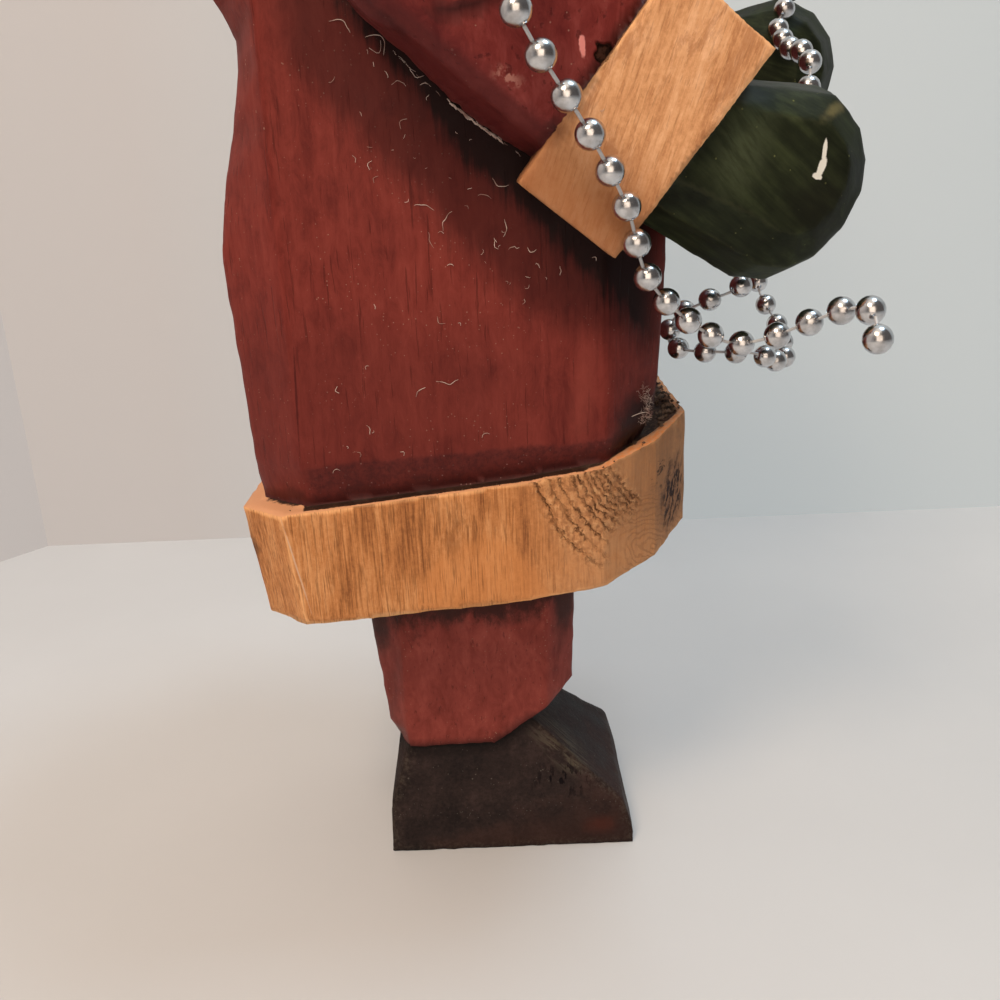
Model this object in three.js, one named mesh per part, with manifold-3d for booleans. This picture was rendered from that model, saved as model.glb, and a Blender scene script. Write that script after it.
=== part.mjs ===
// Carved santa figure: a body whittled from one upright block, two arms fixed to its sides,
// and a string of silvered beads hung over the shoulders and between the mittens.
// Millimetres, +Z up. The figure faces -Y, its right side is -X, and it stands on Z = 0.

import * as THREE from 'three';
import { mergeVertices } from 'three/addons/utils/BufferGeometryUtils.js';
import Module from 'manifold-3d';

const wasm = await Module();
wasm.setup();

// Boots and trousers, one narrow block with a groove between the trouser legs
const bootLength = 63;
const bootWidth = 45;
const ankleHeight = 36;
const ankleWidth = 38;
const toeHeight = 12.5;
const heelUpright = 14;
const trouserFoot = 30.5;
const trouserDepth = 49;
const trouserWidth = 42;
const trouserSetBack = 7.5;
const legCut = 7;
const legSideBack = 25;
const legGroove = 4;

// Hem band, the bare wood at the foot of the coat
const hemBottom = 75.6;
const hemHeight = 25.5;
const hemWidth = 89;
const hemDepth = 97.5;
const hemSetBack = 6.5;
const hemRise = 14.6;
const hemBackCut = 10;
const hemFrontCut = 20.5;
const hemSwell = 1.8;
const hemTaper = 3;

// Coat, the red block from the hem to the neck
const coatWidth = 86;
const coatDepth = 89.4;
const coatSetBack = 8.6;
const coatLength = 150;
const coatSideCut = 11;
const coatEdgeCut = 13.5;
const coatBevel = 10;
const coatBevelInset = 2.2;
const waistHeight = 91.5;
const waistPinch = 7.5;

// Head, beard and cap
const collarHeight = 12;
const collarProud = 3;
const headHeight = 48;
const headWidth = 42;
const headDepth = 50;
const headSetBack = 3;
const beardLength = 54;
const beardProud = 9;
const beardLocks = 7;
const hairGroove = 3;
const capBandHeight = 14;
const capBandProud = 4.5;
const capHeight = 25;
const pomRadius = 7.5;

// Arms, both cut to one pattern and fixed at an angle of their own
const armThickness = 22;
const armEdgeCut = 3.5;
const upperArmWidth = 32;
const upperArmLength = 28;
const forearmWidth = 31;
const forearmLength = 36;
const forearmAngle = 39;
const armTurnIn = 14;
const cuffLength = 21.5;
const cuffWidth = 42.3;
const cuffThickness = 26;
const cuffProud = 1.8;
const mittenLength = 40;
const mittenWidth = 38.5;
const mittenThickness = 29;
const mittenLift = 8;
const leftArmRaise = 18;
const shoulderSetBack = 7;
const shoulderDrop = 18;
const armGap = 0.4;

// Bead string
const beadDiameter = 5;
const beadPitch = 7.2;
const threadDiameter = 0.9;
const beadSides = 6;

const redPaint = new THREE.MeshStandardMaterial({ color: 0x7a2e28, roughness: 0.6, metalness: 0 });
const silvered = new THREE.MeshStandardMaterial({ color: 0xc9c6c4, roughness: 0.2, metalness: 1 });

// Heights and edges worked out from these sizes
const hemTop = hemBottom + hemHeight;
const coatTop = hemTop + coatLength;
const waist = hemTop + waistHeight;
const headBase = coatTop - 3;
const headTop = headBase + headHeight;
const coatFront = coatSetBack - coatDepth / 2;
const coatBack = coatSetBack + coatDepth / 2;
const hemFront = hemSetBack - hemDepth / 2;
const hemBack = hemSetBack + hemDepth / 2;
const trouserFront = trouserSetBack - trouserDepth / 2;
const trouserBack = trouserSetBack + trouserDepth / 2;
const faceFront = headSetBack - headDepth / 2;
const napeBack = headSetBack + headDepth / 2;
const blockFar = 400;

function solidOf(geometry) {
  const bare = geometry.clone();
  bare.deleteAttribute('normal');
  bare.deleteAttribute('uv');
  const merged = mergeVertices(bare, 1e-4);
  return new wasm.Manifold(new wasm.Mesh({
    numProp: 3,
    vertProperties: new Float32Array(merged.attributes.position.array),
    triVerts: new Uint32Array(merged.index.array),
  }));
}

function meshOf(solid, name, material) {
  const data = solid.getMesh();
  const geometry = new THREE.BufferGeometry();
  geometry.setAttribute('position', new THREE.BufferAttribute(data.vertProperties, 3));
  geometry.setIndex(new THREE.BufferAttribute(data.triVerts, 1));
  geometry.computeVertexNormals();
  const mesh = new THREE.Mesh(geometry, material);
  mesh.name = name;
  return mesh;
}

function union(solids) {
  return solids.reduce((whole, piece) => whole.add(piece));
}

// The closed surface through rings of as many points each, listed from the bottom up.
// Its ends are closed by strips from side to side, so that a ring may rise and fall.
function loftGeometry(rings) {
  const sides = rings[0].length;
  const positions = rings.flat().flatMap((p) => [p.x, p.y, p.z]);
  const faces = [];
  for (let r = 0; r < rings.length - 1; r += 1) {
    for (let i = 0; i < sides; i += 1) {
      const a = r * sides + i;
      const b = r * sides + ((i + 1) % sides);
      faces.push(a, b, b + sides, a, b + sides, a + sides);
    }
  }
  const last = (rings.length - 1) * sides;
  for (let i = 0; i < sides - 2; i += 1) {
    const [low, high] = [Math.ceil(i / 2), sides - 1 - Math.floor(i / 2)];
    const third = i % 2 ? high - 1 : low + 1;
    faces.push(low, high, third, last + low, last + third, last + high);
  }
  const geometry = new THREE.BufferGeometry();
  geometry.setAttribute('position', new THREE.Float32BufferAttribute(positions, 3));
  geometry.setIndex(faces);
  return geometry;
}

function loft(rings) {
  return solidOf(loftGeometry(rings));
}

// One level of a block with its corners cut off, counter-clockwise from above.
// The cuts run sideCut across and frontCut or backCut from front to back.
function level({ z, half, front, back, sideCut, frontCut, backCut, lift = () => 0 }) {
  const corners = [
    [half - sideCut, front], [half, front + frontCut],
    [half, back - backCut], [half - sideCut, back],
    [sideCut - half, back], [-half, back - backCut],
    [-half, front + frontCut], [sideCut - half, front],
  ];
  return corners.map(([x, y]) => new THREE.Vector3(x, y, z + lift(y)));
}

// Whittles the solid flat along the plane through a, b and c, and keeps its middle
function shave(solid, a, b, c) {
  const [from, to, side] = [a, b, c].map((p) => new THREE.Vector3(...p));
  const normal = to.clone().sub(from).cross(side.clone().sub(from)).normalize();
  const { min, max } = solid.boundingBox();
  const middle = new THREE.Vector3(...min).add(new THREE.Vector3(...max)).multiplyScalar(0.5);
  if (normal.dot(middle.sub(from)) > 0) normal.negate();
  const waste = new THREE.BoxGeometry(blockFar, blockFar, blockFar);
  waste.translate(0, 0, blockFar / 2);
  waste.applyQuaternion(new THREE.Quaternion().setFromUnitVectors(new THREE.Vector3(0, 0, 1), normal));
  waste.translate(from.x, from.y, from.z);
  return solid.subtract(solidOf(waste));
}

// Gouge cuts of V section along a line of points
function gouge(solid, points, width) {
  return points.slice(1).reduce((rest, to, i) => {
    const [start, end] = [new THREE.Vector3(...points[i]), new THREE.Vector3(...to)];
    const along = end.clone().sub(start);
    const tool = new THREE.CylinderGeometry(width / 2, width / 2, along.length() + width / 2, 4);
    tool.applyQuaternion(new THREE.Quaternion().setFromUnitVectors(
      new THREE.Vector3(0, 1, 0), along.normalize()));
    const middle = start.add(end).multiplyScalar(0.5);
    tool.translate(middle.x, middle.y, middle.z);
    return rest.subtract(solidOf(tool));
  }, solid);
}

// A value that runs smoothly between stations listed from the bottom up
function between(stations, key, z) {
  const found = stations.findIndex((s) => s.z >= z);
  const upper = found < 0 ? stations.length - 1 : Math.max(1, found);
  const [a, b] = [stations[upper - 1], stations[upper]];
  return THREE.MathUtils.lerp(a[key], b[key], THREE.MathUtils.smoothstep(z, a.z, b.z));
}

// The hem climbs evenly from the back and turns up faster at the front
function climb(y, straight) {
  const share = THREE.MathUtils.clamp((hemBack - y) / hemDepth, 0, 1);
  return hemRise * (straight * share + (1 - straight) * share ** 6);
}

function boots() {
  const half = bootLength / 2;
  const ankleBack = half - 5;
  const sole = { half: bootWidth / 2, front: -half, back: half, sideCut: 0.5, frontCut: 0.5, backCut: 0.5 };
  const heel = { ...sole, z: heelUpright, half: bootWidth / 2 - 0.6, back: half - 0.8 };
  const ankle = { z: ankleHeight + 2, half: ankleWidth / 2, back: ankleBack, sideCut: 8, backCut: 4 };
  const block = loft([level({ ...sole, z: 0 }), level(heel), level({ ...sole, ...ankle })]);
  const toe = 2.5 - half;
  const instep = shave(block, [0, toe, toeHeight], [0, -6.5, ankleHeight], [1, -6.5, ankleHeight]);
  const capped = shave(instep, [0, -half, 3.5], [0, toe, toeHeight], [1, -half, 3.5]);
  return shave(capped, [bootWidth / 2, toe, toeHeight], [12.5, -16.5, 26], [bootWidth / 2, 4, 24]);
}

// The trouser legs spread backwards from the foot up, and their sides end at one straight edge
function trousers() {
  const ring = (z, front, back) => level({
    z, half: trouserWidth / 2, front, back, sideCut: legCut, frontCut: legCut, backCut: back - legSideBack,
  });
  const block = loft([
    ring(trouserFoot, trouserFront + 0.6, trouserBack - 4.3),
    ring(trouserFoot + 4.5, trouserFront + 0.5, trouserBack - 1.8),
    ring(hemBottom - 13, trouserFront - 0.6, trouserBack + 0.9),
    ring(hemTop, trouserFront - 1.6, trouserBack + 1.5),
  ]);
  const [heelSide, toeSide] = [[trouserSetBack - 4, trouserFoot], [trouserFront + 1, trouserFoot + 13.7]];
  return shave(block, [0, ...heelSide], [0, ...toeSide], [1, ...toeSide]);
}

function legs() {
  const front = [[0, trouserFront - 1, hemBottom], [0, trouserFront, trouserFoot + 14],
    [0, -1, trouserFoot + 3]];
  const back = [[0, trouserBack + 1.2, hemBottom], [0, trouserBack - 1.8, trouserFoot + 4.5],
    [0, trouserBack - 4.3, trouserFoot]];
  return union([boots(), gouge(gouge(trousers(), front, legGroove), back, legGroove)]);
}

// Its front corners are rounded off in two facets each
function hemBand() {
  const half = hemWidth / 2;
  const turn = hemFrontCut / 2 - hemSwell;
  const ring = ({ z, inset, back, straight }) => {
    const sides = [
      [half - hemFrontCut, hemFront], [half - turn, hemFront + turn], [half - inset, hemFront + hemFrontCut],
      [half - inset, hemSetBack - 10], [half - inset, back - hemBackCut], [half - inset - hemBackCut, back],
    ];
    const mirrored = sides.map(([x, y]) => [-x, y]).reverse();
    return [...sides, ...mirrored].map(([x, y]) => new THREE.Vector3(x, y, z + climb(y, straight)));
  };
  return loft([
    ring({ z: hemBottom, inset: 0.8, back: hemBack - hemTaper, straight: 0.42 }),
    ring({ z: hemTop, inset: 0, back: hemBack, straight: 0.62 }),
  ]);
}

// The coat's front, back and half width at heights up the block. The arms lie against its flat sides.
const coatStations = [
  { z: hemTop, front: coatFront + 2.6, back: coatBack - 1.6, half: coatWidth / 2 },
  { z: hemTop + 51, front: coatFront, back: coatBack, half: coatWidth / 2 },
  { z: waist, front: coatFront + 3, back: coatBack - waistPinch, half: coatWidth / 2 },
  { z: waist + 14, front: coatFront, back: coatBack, half: coatWidth / 2 },
  { z: coatTop - 18, front: coatFront + 2, back: coatBack - 3, half: coatWidth / 2 - 1 },
  { z: coatTop - 6, front: coatFront + 8, back: coatBack - 12, half: coatWidth / 2 - 8 },
  { z: coatTop, front: coatFront + 17, back: coatBack - 24, half: coatWidth / 2 - 18 },
];

// A bevel runs round the coat's foot and dies out at its back corners
function coat(grow) {
  const ring = (z, inset, lift) => {
    const front = between(coatStations, 'front', z) - grow + inset;
    const back = between(coatStations, 'back', z) + grow - inset * 0.2;
    return level({
      z,
      half: between(coatStations, 'half', z) + grow - inset,
      front,
      back,
      sideCut: coatSideCut,
      frontCut: Math.max(coatFront + coatEdgeCut - front, 6),
      backCut: Math.max(back - coatBack + coatEdgeCut, 6),
      lift,
    });
  };
  const rings = [
    ring(hemTop - 6, coatBevelInset, (y) => climb(y, 0.62)),
    ring(hemTop, coatBevelInset, (y) => climb(y, 0.62)),
    ring(hemTop + coatBevel, 0, (y) => climb(y, 0.62) * 0.55),
  ];
  const steps = 12;
  const first = hemTop + coatBevel + 12;
  const turns = coatStations.slice(1).map((s) => s.z);
  const even = Array.from({ length: steps }, (_, i) => first + ((coatTop - first) * i) / steps);
  const heights = [...even.filter((z) => turns.every((turning) => Math.abs(turning - z) > 2.5)), ...turns];
  heights.sort((a, b) => a - b).forEach((z) => rings.push(ring(z, 0, () => 0)));
  return loft(rings);
}

function collar() {
  const ring = { front: coatFront + 9, back: coatBack - 17, sideCut: 9, frontCut: 9, backCut: 9 };
  const half = coatWidth / 2 - 12;
  const foot = { z: coatTop - collarHeight + 3, half: half + collarProud, front: ring.front - collarProud };
  const rim = { z: coatTop + 3, half, back: ring.back - collarProud };
  return loft([level({ ...ring, ...foot }), level({ ...ring, ...rim })]);
}

// Head with a plain face, hair, beard and moustache
function head() {
  const half = headWidth / 2;
  const cut = { sideCut: 7, frontCut: 7, backCut: 8 };
  const skull = loft([
    level({ ...cut, z: headBase - 4, half: half - 1, front: faceFront + 3, back: napeBack - 2 }),
    level({ ...cut, z: headTop, half, front: faceFront, back: napeBack }),
  ]);
  const hairCut = { sideCut: 8, frontCut: 1, backCut: 9 };
  const hair = loft([
    level({ ...hairCut, z: coatTop, half: half + 1.5, front: 0, back: napeBack + 2 }),
    level({ ...hairCut, z: headBase + 16, half: half + 3.5, front: -4, back: napeBack + 4 }),
    level({ ...hairCut, z: headTop - 2, half: half + 2, front: -6, back: napeBack + 3 }),
  ]);
  const [rear, flank] = [napeBack + 4.2, half + 3.7];
  const strands = [[-9, rear], [0, rear], [9, rear], [-flank, 5], [-flank, 15], [flank, 5], [flank, 15]];
  const combed = strands.reduce((rest, [x, y]) => (
    gouge(rest, [[x, y, headTop], [x, y, headBase + 12], [x * 0.96, y * 0.96, coatTop]], hairGroove)), hair);
  const eyeLevel = headBase + headHeight * 0.64;
  const brow = [-half, half].map((x) => [x, faceFront - 0.8, eyeLevel + 1]);
  const browed = gouge(skull, brow, 6.5);
  const noseRing = (z, w, out) => [[-w, out], [w, out], [w + 1.5, faceFront + 4], [-w - 1.5, faceFront + 4]]
    .map(([x, y]) => new THREE.Vector3(x, y, z));
  const nose = loft([
    noseRing(eyeLevel - 13.5, 3, faceFront - 5),
    noseRing(eyeLevel - 8, 3.2, faceFront - 7),
    noseRing(eyeLevel + 4, 1.2, faceFront - 1),
  ]);
  const eyes = [-1, 1].map((side) => {
    const eye = new THREE.SphereGeometry(2.3, 8, 6);
    eye.translate(side * 8, faceFront + 1, eyeLevel - 0.5);
    return solidOf(eye);
  });
  return union([browed, combed, nose, ...eyes]);
}

function beard() {
  const half = headWidth / 2;
  const top = headBase + headHeight * 0.42;
  const chest = coatFront;
  const shape = [
    { down: 0, half, front: faceFront - 3, back: -6 },
    { down: 0.2, half: half + 1, front: chest - beardProud * 0.3, back: -8 },
    { down: 0.46, half: half - 1, front: chest - beardProud * 0.95, back: chest + 14 },
    { down: 0.72, half: half * 0.72, front: chest - beardProud, back: chest + 5 },
    { down: 0.9, half: half * 0.42, front: chest - beardProud * 0.75, back: chest + 4 },
    { down: 1, half: half * 0.2, front: chest - beardProud * 0.35, back: chest + 3 },
  ];
  const rings = shape.map((s) => level({
    z: top - s.down * beardLength, half: s.half, front: s.front, back: s.back,
    sideCut: s.half * 0.45, frontCut: (s.back - s.front) * 0.3, backCut: 0.5,
  }));
  const whole = loft(rings.reverse());
  const across = Array.from({ length: beardLocks }, (_, i) => (2 * i) / (beardLocks - 1) - 1);
  return across.reduce((rest, share) => gouge(rest, shape.slice(0, 5).map((s) => {
    const reach = share * s.half * 0.86;
    const bow = Math.max(0, Math.abs(share) - 0.5) * (s.back - s.front) * 0.42;
    return [reach, s.front + bow, top - s.down * beardLength];
  }), 2.6), whole);
}

function moustache() {
  return [-1, 1].map((side) => {
    const lobe = new THREE.SphereGeometry(1, 10, 6);
    lobe.scale(9.5, 4.5, 3.6);
    lobe.rotateY(side * 0.32);
    lobe.translate(side * 6.8, faceFront - 5, headBase + headHeight * 0.36);
    return solidOf(lobe);
  });
}

function cap() {
  const half = headWidth / 2 + capBandProud;
  const reach = { front: faceFront - capBandProud, back: napeBack + capBandProud };
  const band = { ...reach, sideCut: 9, frontCut: 9, backCut: 10 };
  const bandBase = headTop - capBandHeight * 0.65;
  const bandTop = bandBase + capBandHeight;
  const ring = (share, lean, w) => level({
    z: bandTop - 1 + capHeight * share,
    half: w / 2,
    front: lean - w * 0.55,
    back: lean + w * 0.55,
    sideCut: w * 0.25,
    frontCut: w * 0.25,
    backCut: w * 0.25,
  });
  const pom = new THREE.SphereGeometry(pomRadius, 10, 7);
  pom.translate(0, headSetBack + 13, bandTop + capHeight);
  return union([
    loft([
      level({ ...band, z: bandBase, half }),
      level({ ...band, z: bandTop, half: half - 0.5, front: band.front + 1 }),
    ]),
    loft([
      ring(0, headSetBack, headWidth),
      ring(0.45, headSetBack + 1, headWidth * 0.82),
      ring(0.8, headSetBack + 6, headWidth * 0.55),
      ring(1, headSetBack + 11, headWidth * 0.28),
    ]),
    solidOf(pom),
  ]);
}

function carvedBody() {
  return union([legs(), hemBand(), coat(0), collar(), head(), beard(), ...moustache(), cap()]);
}

// Turns a side view, drawn front to back and upwards, to stand along the figure
const sideView = new THREE.Matrix4().makeBasis(
  new THREE.Vector3(0, 1, 0), new THREE.Vector3(0, 0, 1), new THREE.Vector3(1, 0, 0));

// A board of the arm's thickness with whittled edges, from its side view
function board(shape) {
  const geometry = new THREE.ExtrudeGeometry(shape, {
    depth: armThickness - 2 * armEdgeCut,
    bevelThickness: armEdgeCut,
    bevelSize: armEdgeCut,
    bevelOffset: -armEdgeCut,
    bevelSegments: 1,
    curveSegments: 5,
  });
  geometry.translate(0, 0, armEdgeCut - armThickness / 2);
  return geometry.applyMatrix4(sideView);
}

// The arm's pattern, with the shoulder at the origin and the elbow below it
const elbow = new THREE.Vector3(0, 1, -upperArmLength);

function upperArm() {
  const half = upperArmWidth / 2;
  const shape = new THREE.Shape();
  shape.absarc(0, 0, half, 0, Math.PI, false);
  shape.absarc(elbow.y, elbow.z, half, Math.PI, 2 * Math.PI, false);
  return board(shape);
}

// Forearm, cuff and mitten, laid out along the y axis from the elbow and then lowered.
// The sleeve and mitten turn in towards the chest, and the cuff is square to the coat.
function forearm() {
  const half = forearmWidth / 2;
  const sleeve = new THREE.Shape();
  sleeve.absarc(0, 0, half, -Math.PI / 2, Math.PI / 2, false);
  sleeve.lineTo(-forearmLength - 1, half);
  sleeve.lineTo(-forearmLength - 1, -half);
  const cuff = new THREE.BoxGeometry(cuffThickness, cuffLength, cuffWidth);
  cuff.translate(-cuffProud, 0, 0);
  cuff.applyMatrix4(turn(acrossBody, -forearmAngle).multiply(turn(upright, -armTurnIn))
    .multiply(turn(acrossBody, forearmAngle)));
  cuff.translate(0, -forearmLength - cuffLength / 2, 0);
  return [board(sleeve), cuff, mitten()];
}

function mitten() {
  const knuckles = 9;
  const wrist = -forearmLength - cuffLength + 5;
  const middle = wrist - mittenLength / 2;
  const full = (share) => Math.sign(share) * Math.abs(share) ** 0.86;
  const slices = [[-0.5, 0.52], [-0.34, 0.84], [0, 1], [0.34, 0.84], [0.5, 0.52]];
  const rings = slices.map(([across, size]) => {
    const ring = [];
    for (let i = 0; i < knuckles; i += 1) {
      const angle = Math.PI / 2 + (Math.PI * i) / (knuckles - 1);
      const [out, up] = [(full(Math.cos(angle)) * mittenLength) / 2, (full(Math.sin(angle)) * mittenWidth) / 2];
      ring.push([middle + out * size, mittenLift + up * size]);
    }
    ring.push([wrist, -mittenWidth * size * 0.36], [wrist, mittenWidth * size * 0.36]);
    return ring.map(([y, z]) => new THREE.Vector3(across * mittenThickness, y, z));
  });
  return loftGeometry(rings);
}

// Poses of the right arm beside the coat: raise turns it up at the shoulder
const turn = (axis, degrees) => new THREE.Matrix4().makeRotationAxis(axis, THREE.MathUtils.degToRad(degrees));
const [acrossBody, upright] = [new THREE.Vector3(1, 0, 0), new THREE.Vector3(0, 0, 1)];
const armSide = coatWidth / 2 + armGap + armThickness / 2;
const shoulder = new THREE.Vector3(-armSide, shoulderSetBack, coatTop - shoulderDrop);

function armPose(raise) {
  return new THREE.Matrix4().makeTranslation(shoulder).multiply(turn(acrossBody, -raise));
}

function forearmPose(raise) {
  return armPose(raise).multiply(new THREE.Matrix4().makeTranslation(elbow))
    .multiply(turn(upright, armTurnIn)).multiply(turn(acrossBody, forearmAngle));
}

function arm(raise) {
  const pieces = forearm().map((geometry) => solidOf(geometry.applyMatrix4(forearmPose(raise))));
  const upper = solidOf(upperArm().applyMatrix4(armPose(raise)));
  return union([upper, ...pieces]).subtract(coat(armGap));
}

// Bead string, one skin along the thread that swells over every bead. Its course is given in steps
// from the hands, the outer faces of the shoulders and the nape: across, back and up.
const grip = new THREE.Vector3(0, -forearmLength - cuffLength + 5 - mittenLength / 2, mittenLift);
const rightHand = grip.clone().applyMatrix4(forearmPose(0));
const leftHand = grip.clone().applyMatrix4(forearmPose(leftArmRaise)).multiply(new THREE.Vector3(-1, 1, 1));
const rightShoulder = shoulder.clone().add(new THREE.Vector3(-armThickness / 2, 0, 0));
const leftShoulder = rightShoulder.clone().multiply(new THREE.Vector3(-1, 1, 1));
const nape = new THREE.Vector3(0, 0, coatTop);
const course = [
  { from: rightHand, steps: [
    [-40.4, -10.7, -28.1], [-38, -11.3, -25.9], [-32.6, -12.2, -22.2], [-27, -10.6, -22.3],
    [-18.5, -6, -25.9], [-11.5, -0.5, -29.8],
    [-7.8, 4.8, -31.2], [-14, 14.9, -25.4], [-21, 23.7, -16.2], [-26.5, 28, -4.1],
  ] },
  { from: rightShoulder, steps: [
    [-6.6, -23.9, -59.9], [-12.6, -12.6, -42.3], [-11.1, -8, -27.8], [-6.1, -3, -0.8], [-4.4, -1, 10.7],
    [2.4, 0, 19.6], [14.4, 1, 20.2],
  ] },
  { from: nape, steps: [
    [-32, 19, 6.5], [-22.5, 33.5, 6.2], [0, 40.5, 0.4], [22.5, 33.5, 6.2], [32, 19, 6.5],
  ] },
  { from: leftShoulder, steps: [
    [-14.4, 1, 20.2], [-2, 0, 19.8], [4.8, -4, 10.2], [6.1, -25, -11.8],
  ] },
  { from: leftHand, steps: [
    [26.5, 19.5, 25.2], [7.5, -3.5, 22.7], [-3.5, -7.5, 21.8], [-15.5, -4.5, 15.5], [-18.5, -1.4, 10.3],
    [-33.5, 0.1, 3.7], [-47.5, -0.6, 0],
  ] },
  { from: rightHand, steps: [
    [23, -15, 8.6], [22.5, -8.5, -12.4], [21.2, -3.5, -23.9], [22.5, 4.3, -27.5], [29.5, 9.8, -32.3],
    [31.5, 10.4, -37.7], [26.5, 7.9, -38.7], [17.5, -6.5, -38.5], [22.5, -11.1, -41.1],
    [29.5, -16, -42.2], [43.5, -17.8, -36.6], [53.5, -15.5, -28.7],
  ] },
  { from: leftHand, steps: [
    [-10.5, -1, -28.8],
  ] },
];

function beadString() {
  const place = (from, step) => new THREE.Vector3(...step).add(from);
  const points = course.flatMap(({ from, steps }) => steps.map((step) => place(from, step)));
  const route = new THREE.CatmullRomCurve3(points);
  route.arcLengthDivisions = points.length * 24;
  const length = route.getLength();
  const beads = Math.floor(length / beadPitch);
  const reach = beadDiameter / 2;
  const swell = [-0.98, -0.6, 0, 0.6, 0.98].map((share) => [share, Math.sqrt(1 - share * share)]);
  const rings = [];
  const across = new THREE.Vector3(1, 0, 0);
  for (let i = 0; i < beads; i += 1) {
    for (const [step, girth] of swell) {
      const radius = Math.max(girth * reach, threadDiameter / 2);
      const share = ((i + 0.5) * beadPitch + step * reach) / length;
      const tangent = route.getTangentAt(share);
      across.addScaledVector(tangent, -across.dot(tangent)).normalize();
      const beside = tangent.clone().cross(across);
      const centre = route.getPointAt(share);
      rings.push(Array.from({ length: beadSides }, (_, k) => {
        const angle = (2 * Math.PI * k) / beadSides;
        return centre.clone().addScaledVector(across, Math.cos(angle) * radius)
          .addScaledVector(beside, Math.sin(angle) * radius);
      }));
    }
  }
  return loft(rings);
}

const santa = new THREE.Group();
santa.add(meshOf(carvedBody(), 'carved_body', redPaint));
santa.add(meshOf(arm(0), 'right_arm', redPaint));
santa.add(meshOf(arm(leftArmRaise).mirror([1, 0, 0]), 'left_arm', redPaint));
santa.add(meshOf(beadString(), 'bead_string', silvered));
export default santa;
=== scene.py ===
import math
import random

import bmesh
import bpy
from mathutils import Matrix, Vector, noise
from mathutils.bvhtree import BVHTree
from mathutils.kdtree import KDTree


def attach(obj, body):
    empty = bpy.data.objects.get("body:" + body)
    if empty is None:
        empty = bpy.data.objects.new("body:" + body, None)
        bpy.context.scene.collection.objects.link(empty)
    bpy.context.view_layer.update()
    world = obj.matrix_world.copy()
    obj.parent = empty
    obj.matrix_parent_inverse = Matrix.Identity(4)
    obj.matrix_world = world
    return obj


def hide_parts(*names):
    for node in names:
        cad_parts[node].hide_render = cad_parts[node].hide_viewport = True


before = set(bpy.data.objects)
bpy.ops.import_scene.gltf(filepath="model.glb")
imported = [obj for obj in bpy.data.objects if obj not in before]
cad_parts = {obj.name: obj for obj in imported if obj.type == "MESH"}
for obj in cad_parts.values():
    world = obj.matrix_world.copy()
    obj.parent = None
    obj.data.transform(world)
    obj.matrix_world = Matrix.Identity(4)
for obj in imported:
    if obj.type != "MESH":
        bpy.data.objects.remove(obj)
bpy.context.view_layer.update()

# Room. The figure stands on a board of white foam in a corner of two upright boards.
# A warm lamp hangs high on the left and a white one high on the right, with soft light from above
# and from the front. The camera is level with the coat's waist, close by, and looks down a little.
MM = 0.001
eye = Vector((-238.7, -0.4, 171.2)) * MM
pitch, roll = math.radians(19.2), math.radians(2.4)
ahead = Vector((math.cos(pitch), 0, -math.sin(pitch)))
upward = Vector((math.sin(pitch), 0, math.cos(pitch)))
sideways = Vector((0, -1, 0))
across = sideways * math.cos(roll) - upward * math.sin(roll)
above = upward * math.cos(roll) + sideways * math.sin(roll)
bpy.ops.object.camera_add(location=eye)
camera = bpy.context.object
camera.matrix_world = Matrix.Translation(eye) @ Matrix((across, above, -ahead)).transposed().to_4x4()
camera.data.lens = 36
camera.data.sensor_width = 36
camera.data.clip_start = 0.01
bpy.context.scene.camera = camera


def brush(tree, kind, inputs=(), **settings):
    """Adds a shader node, with its inputs joined to other nodes or set to plain values."""
    made = tree.nodes.new("ShaderNode" + kind)
    for name, value in settings.items():
        setattr(made, name, value)
    for key, value in dict(inputs).items():
        if isinstance(value, bpy.types.NodeSocket):
            tree.links.new(value, made.inputs[key])
        else:
            made.inputs[key].default_value = value
    return made


def fresh_material(name, colour, roughness):
    material = bpy.data.materials.new(name)
    material.use_nodes = True
    shader = material.node_tree.nodes["Principled BSDF"]
    shader.inputs["Base Color"].default_value = (*colour, 1)
    shader.inputs["Roughness"].default_value = roughness
    return material, material.node_tree, shader


def ramp(tree, value, stops):
    """Turns a value into a colour, by the colours that are given at some of its values."""
    made = brush(tree, "ValToRGB", {"Fac": value})
    elements = made.color_ramp.elements
    while len(elements) < len(stops):
        elements.new(0.5)
    for element, (position, colour) in zip(elements, stops):
        element.position = position
        element.color = (*colour, 1)
    return made.outputs["Color"]


def board(name, corners, material, casts):
    """A flat board between four corners, in millimetres."""
    mesh = bpy.data.meshes.new(name)
    mesh.from_pydata([Vector(c) * MM for c in corners], [], [(0, 1, 2, 3)])
    made = bpy.data.objects.new(name, mesh)
    bpy.context.collection.objects.link(made)
    made.data.materials.append(material)
    made.visible_shadow = casts


floor_white, tree, shader = fresh_material("foam_board_floor", (0.47, 0.47, 0.47), 0.65)
place = brush(tree, "TexCoord").outputs["Object"]
stain = brush(tree, "TexNoise", {"Vector": place, "Scale": 9.0, "Detail": 5.0})
tint = ramp(tree, stain.outputs["Fac"], [(0.3, (0.465, 0.455, 0.447)), (0.7, (0.490, 0.480, 0.472))])
tree.links.new(tint, shader.inputs["Base Color"])
tree.links.new(tint, shader.inputs["Emission Color"])
shader.inputs["Emission Strength"].default_value = 0.25
# The walls glow, and their colour runs from warm on the left to cool on the right: a painted glow and painted light
# that stand in for the lamps' light on the boards.
glowing_wall, tree, shader = fresh_material("foam_board_wall", (0.5, 0.5, 0.5), 0.8)
place = brush(tree, "TexCoord").outputs["Object"]
sidelong = brush(tree, "SeparateXYZ", {"Vector": place}).outputs["Y"]
share = brush(tree, "MapRange", {"Value": sidelong, "From Min": 0.15, "From Max": -0.05}).outputs["Result"]
tint = ramp(tree, share, [(0.0, (0.34, 0.32, 0.31)), (1.0, (0.36, 0.39, 0.40))])
tree.links.new(tint, shader.inputs["Base Color"])
tree.links.new(tint, shader.inputs["Emission Color"])
shader.inputs["Emission Strength"].default_value = 0.70
behind = brush(tree, "NewGeometry").outputs["Backfacing"]
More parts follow.
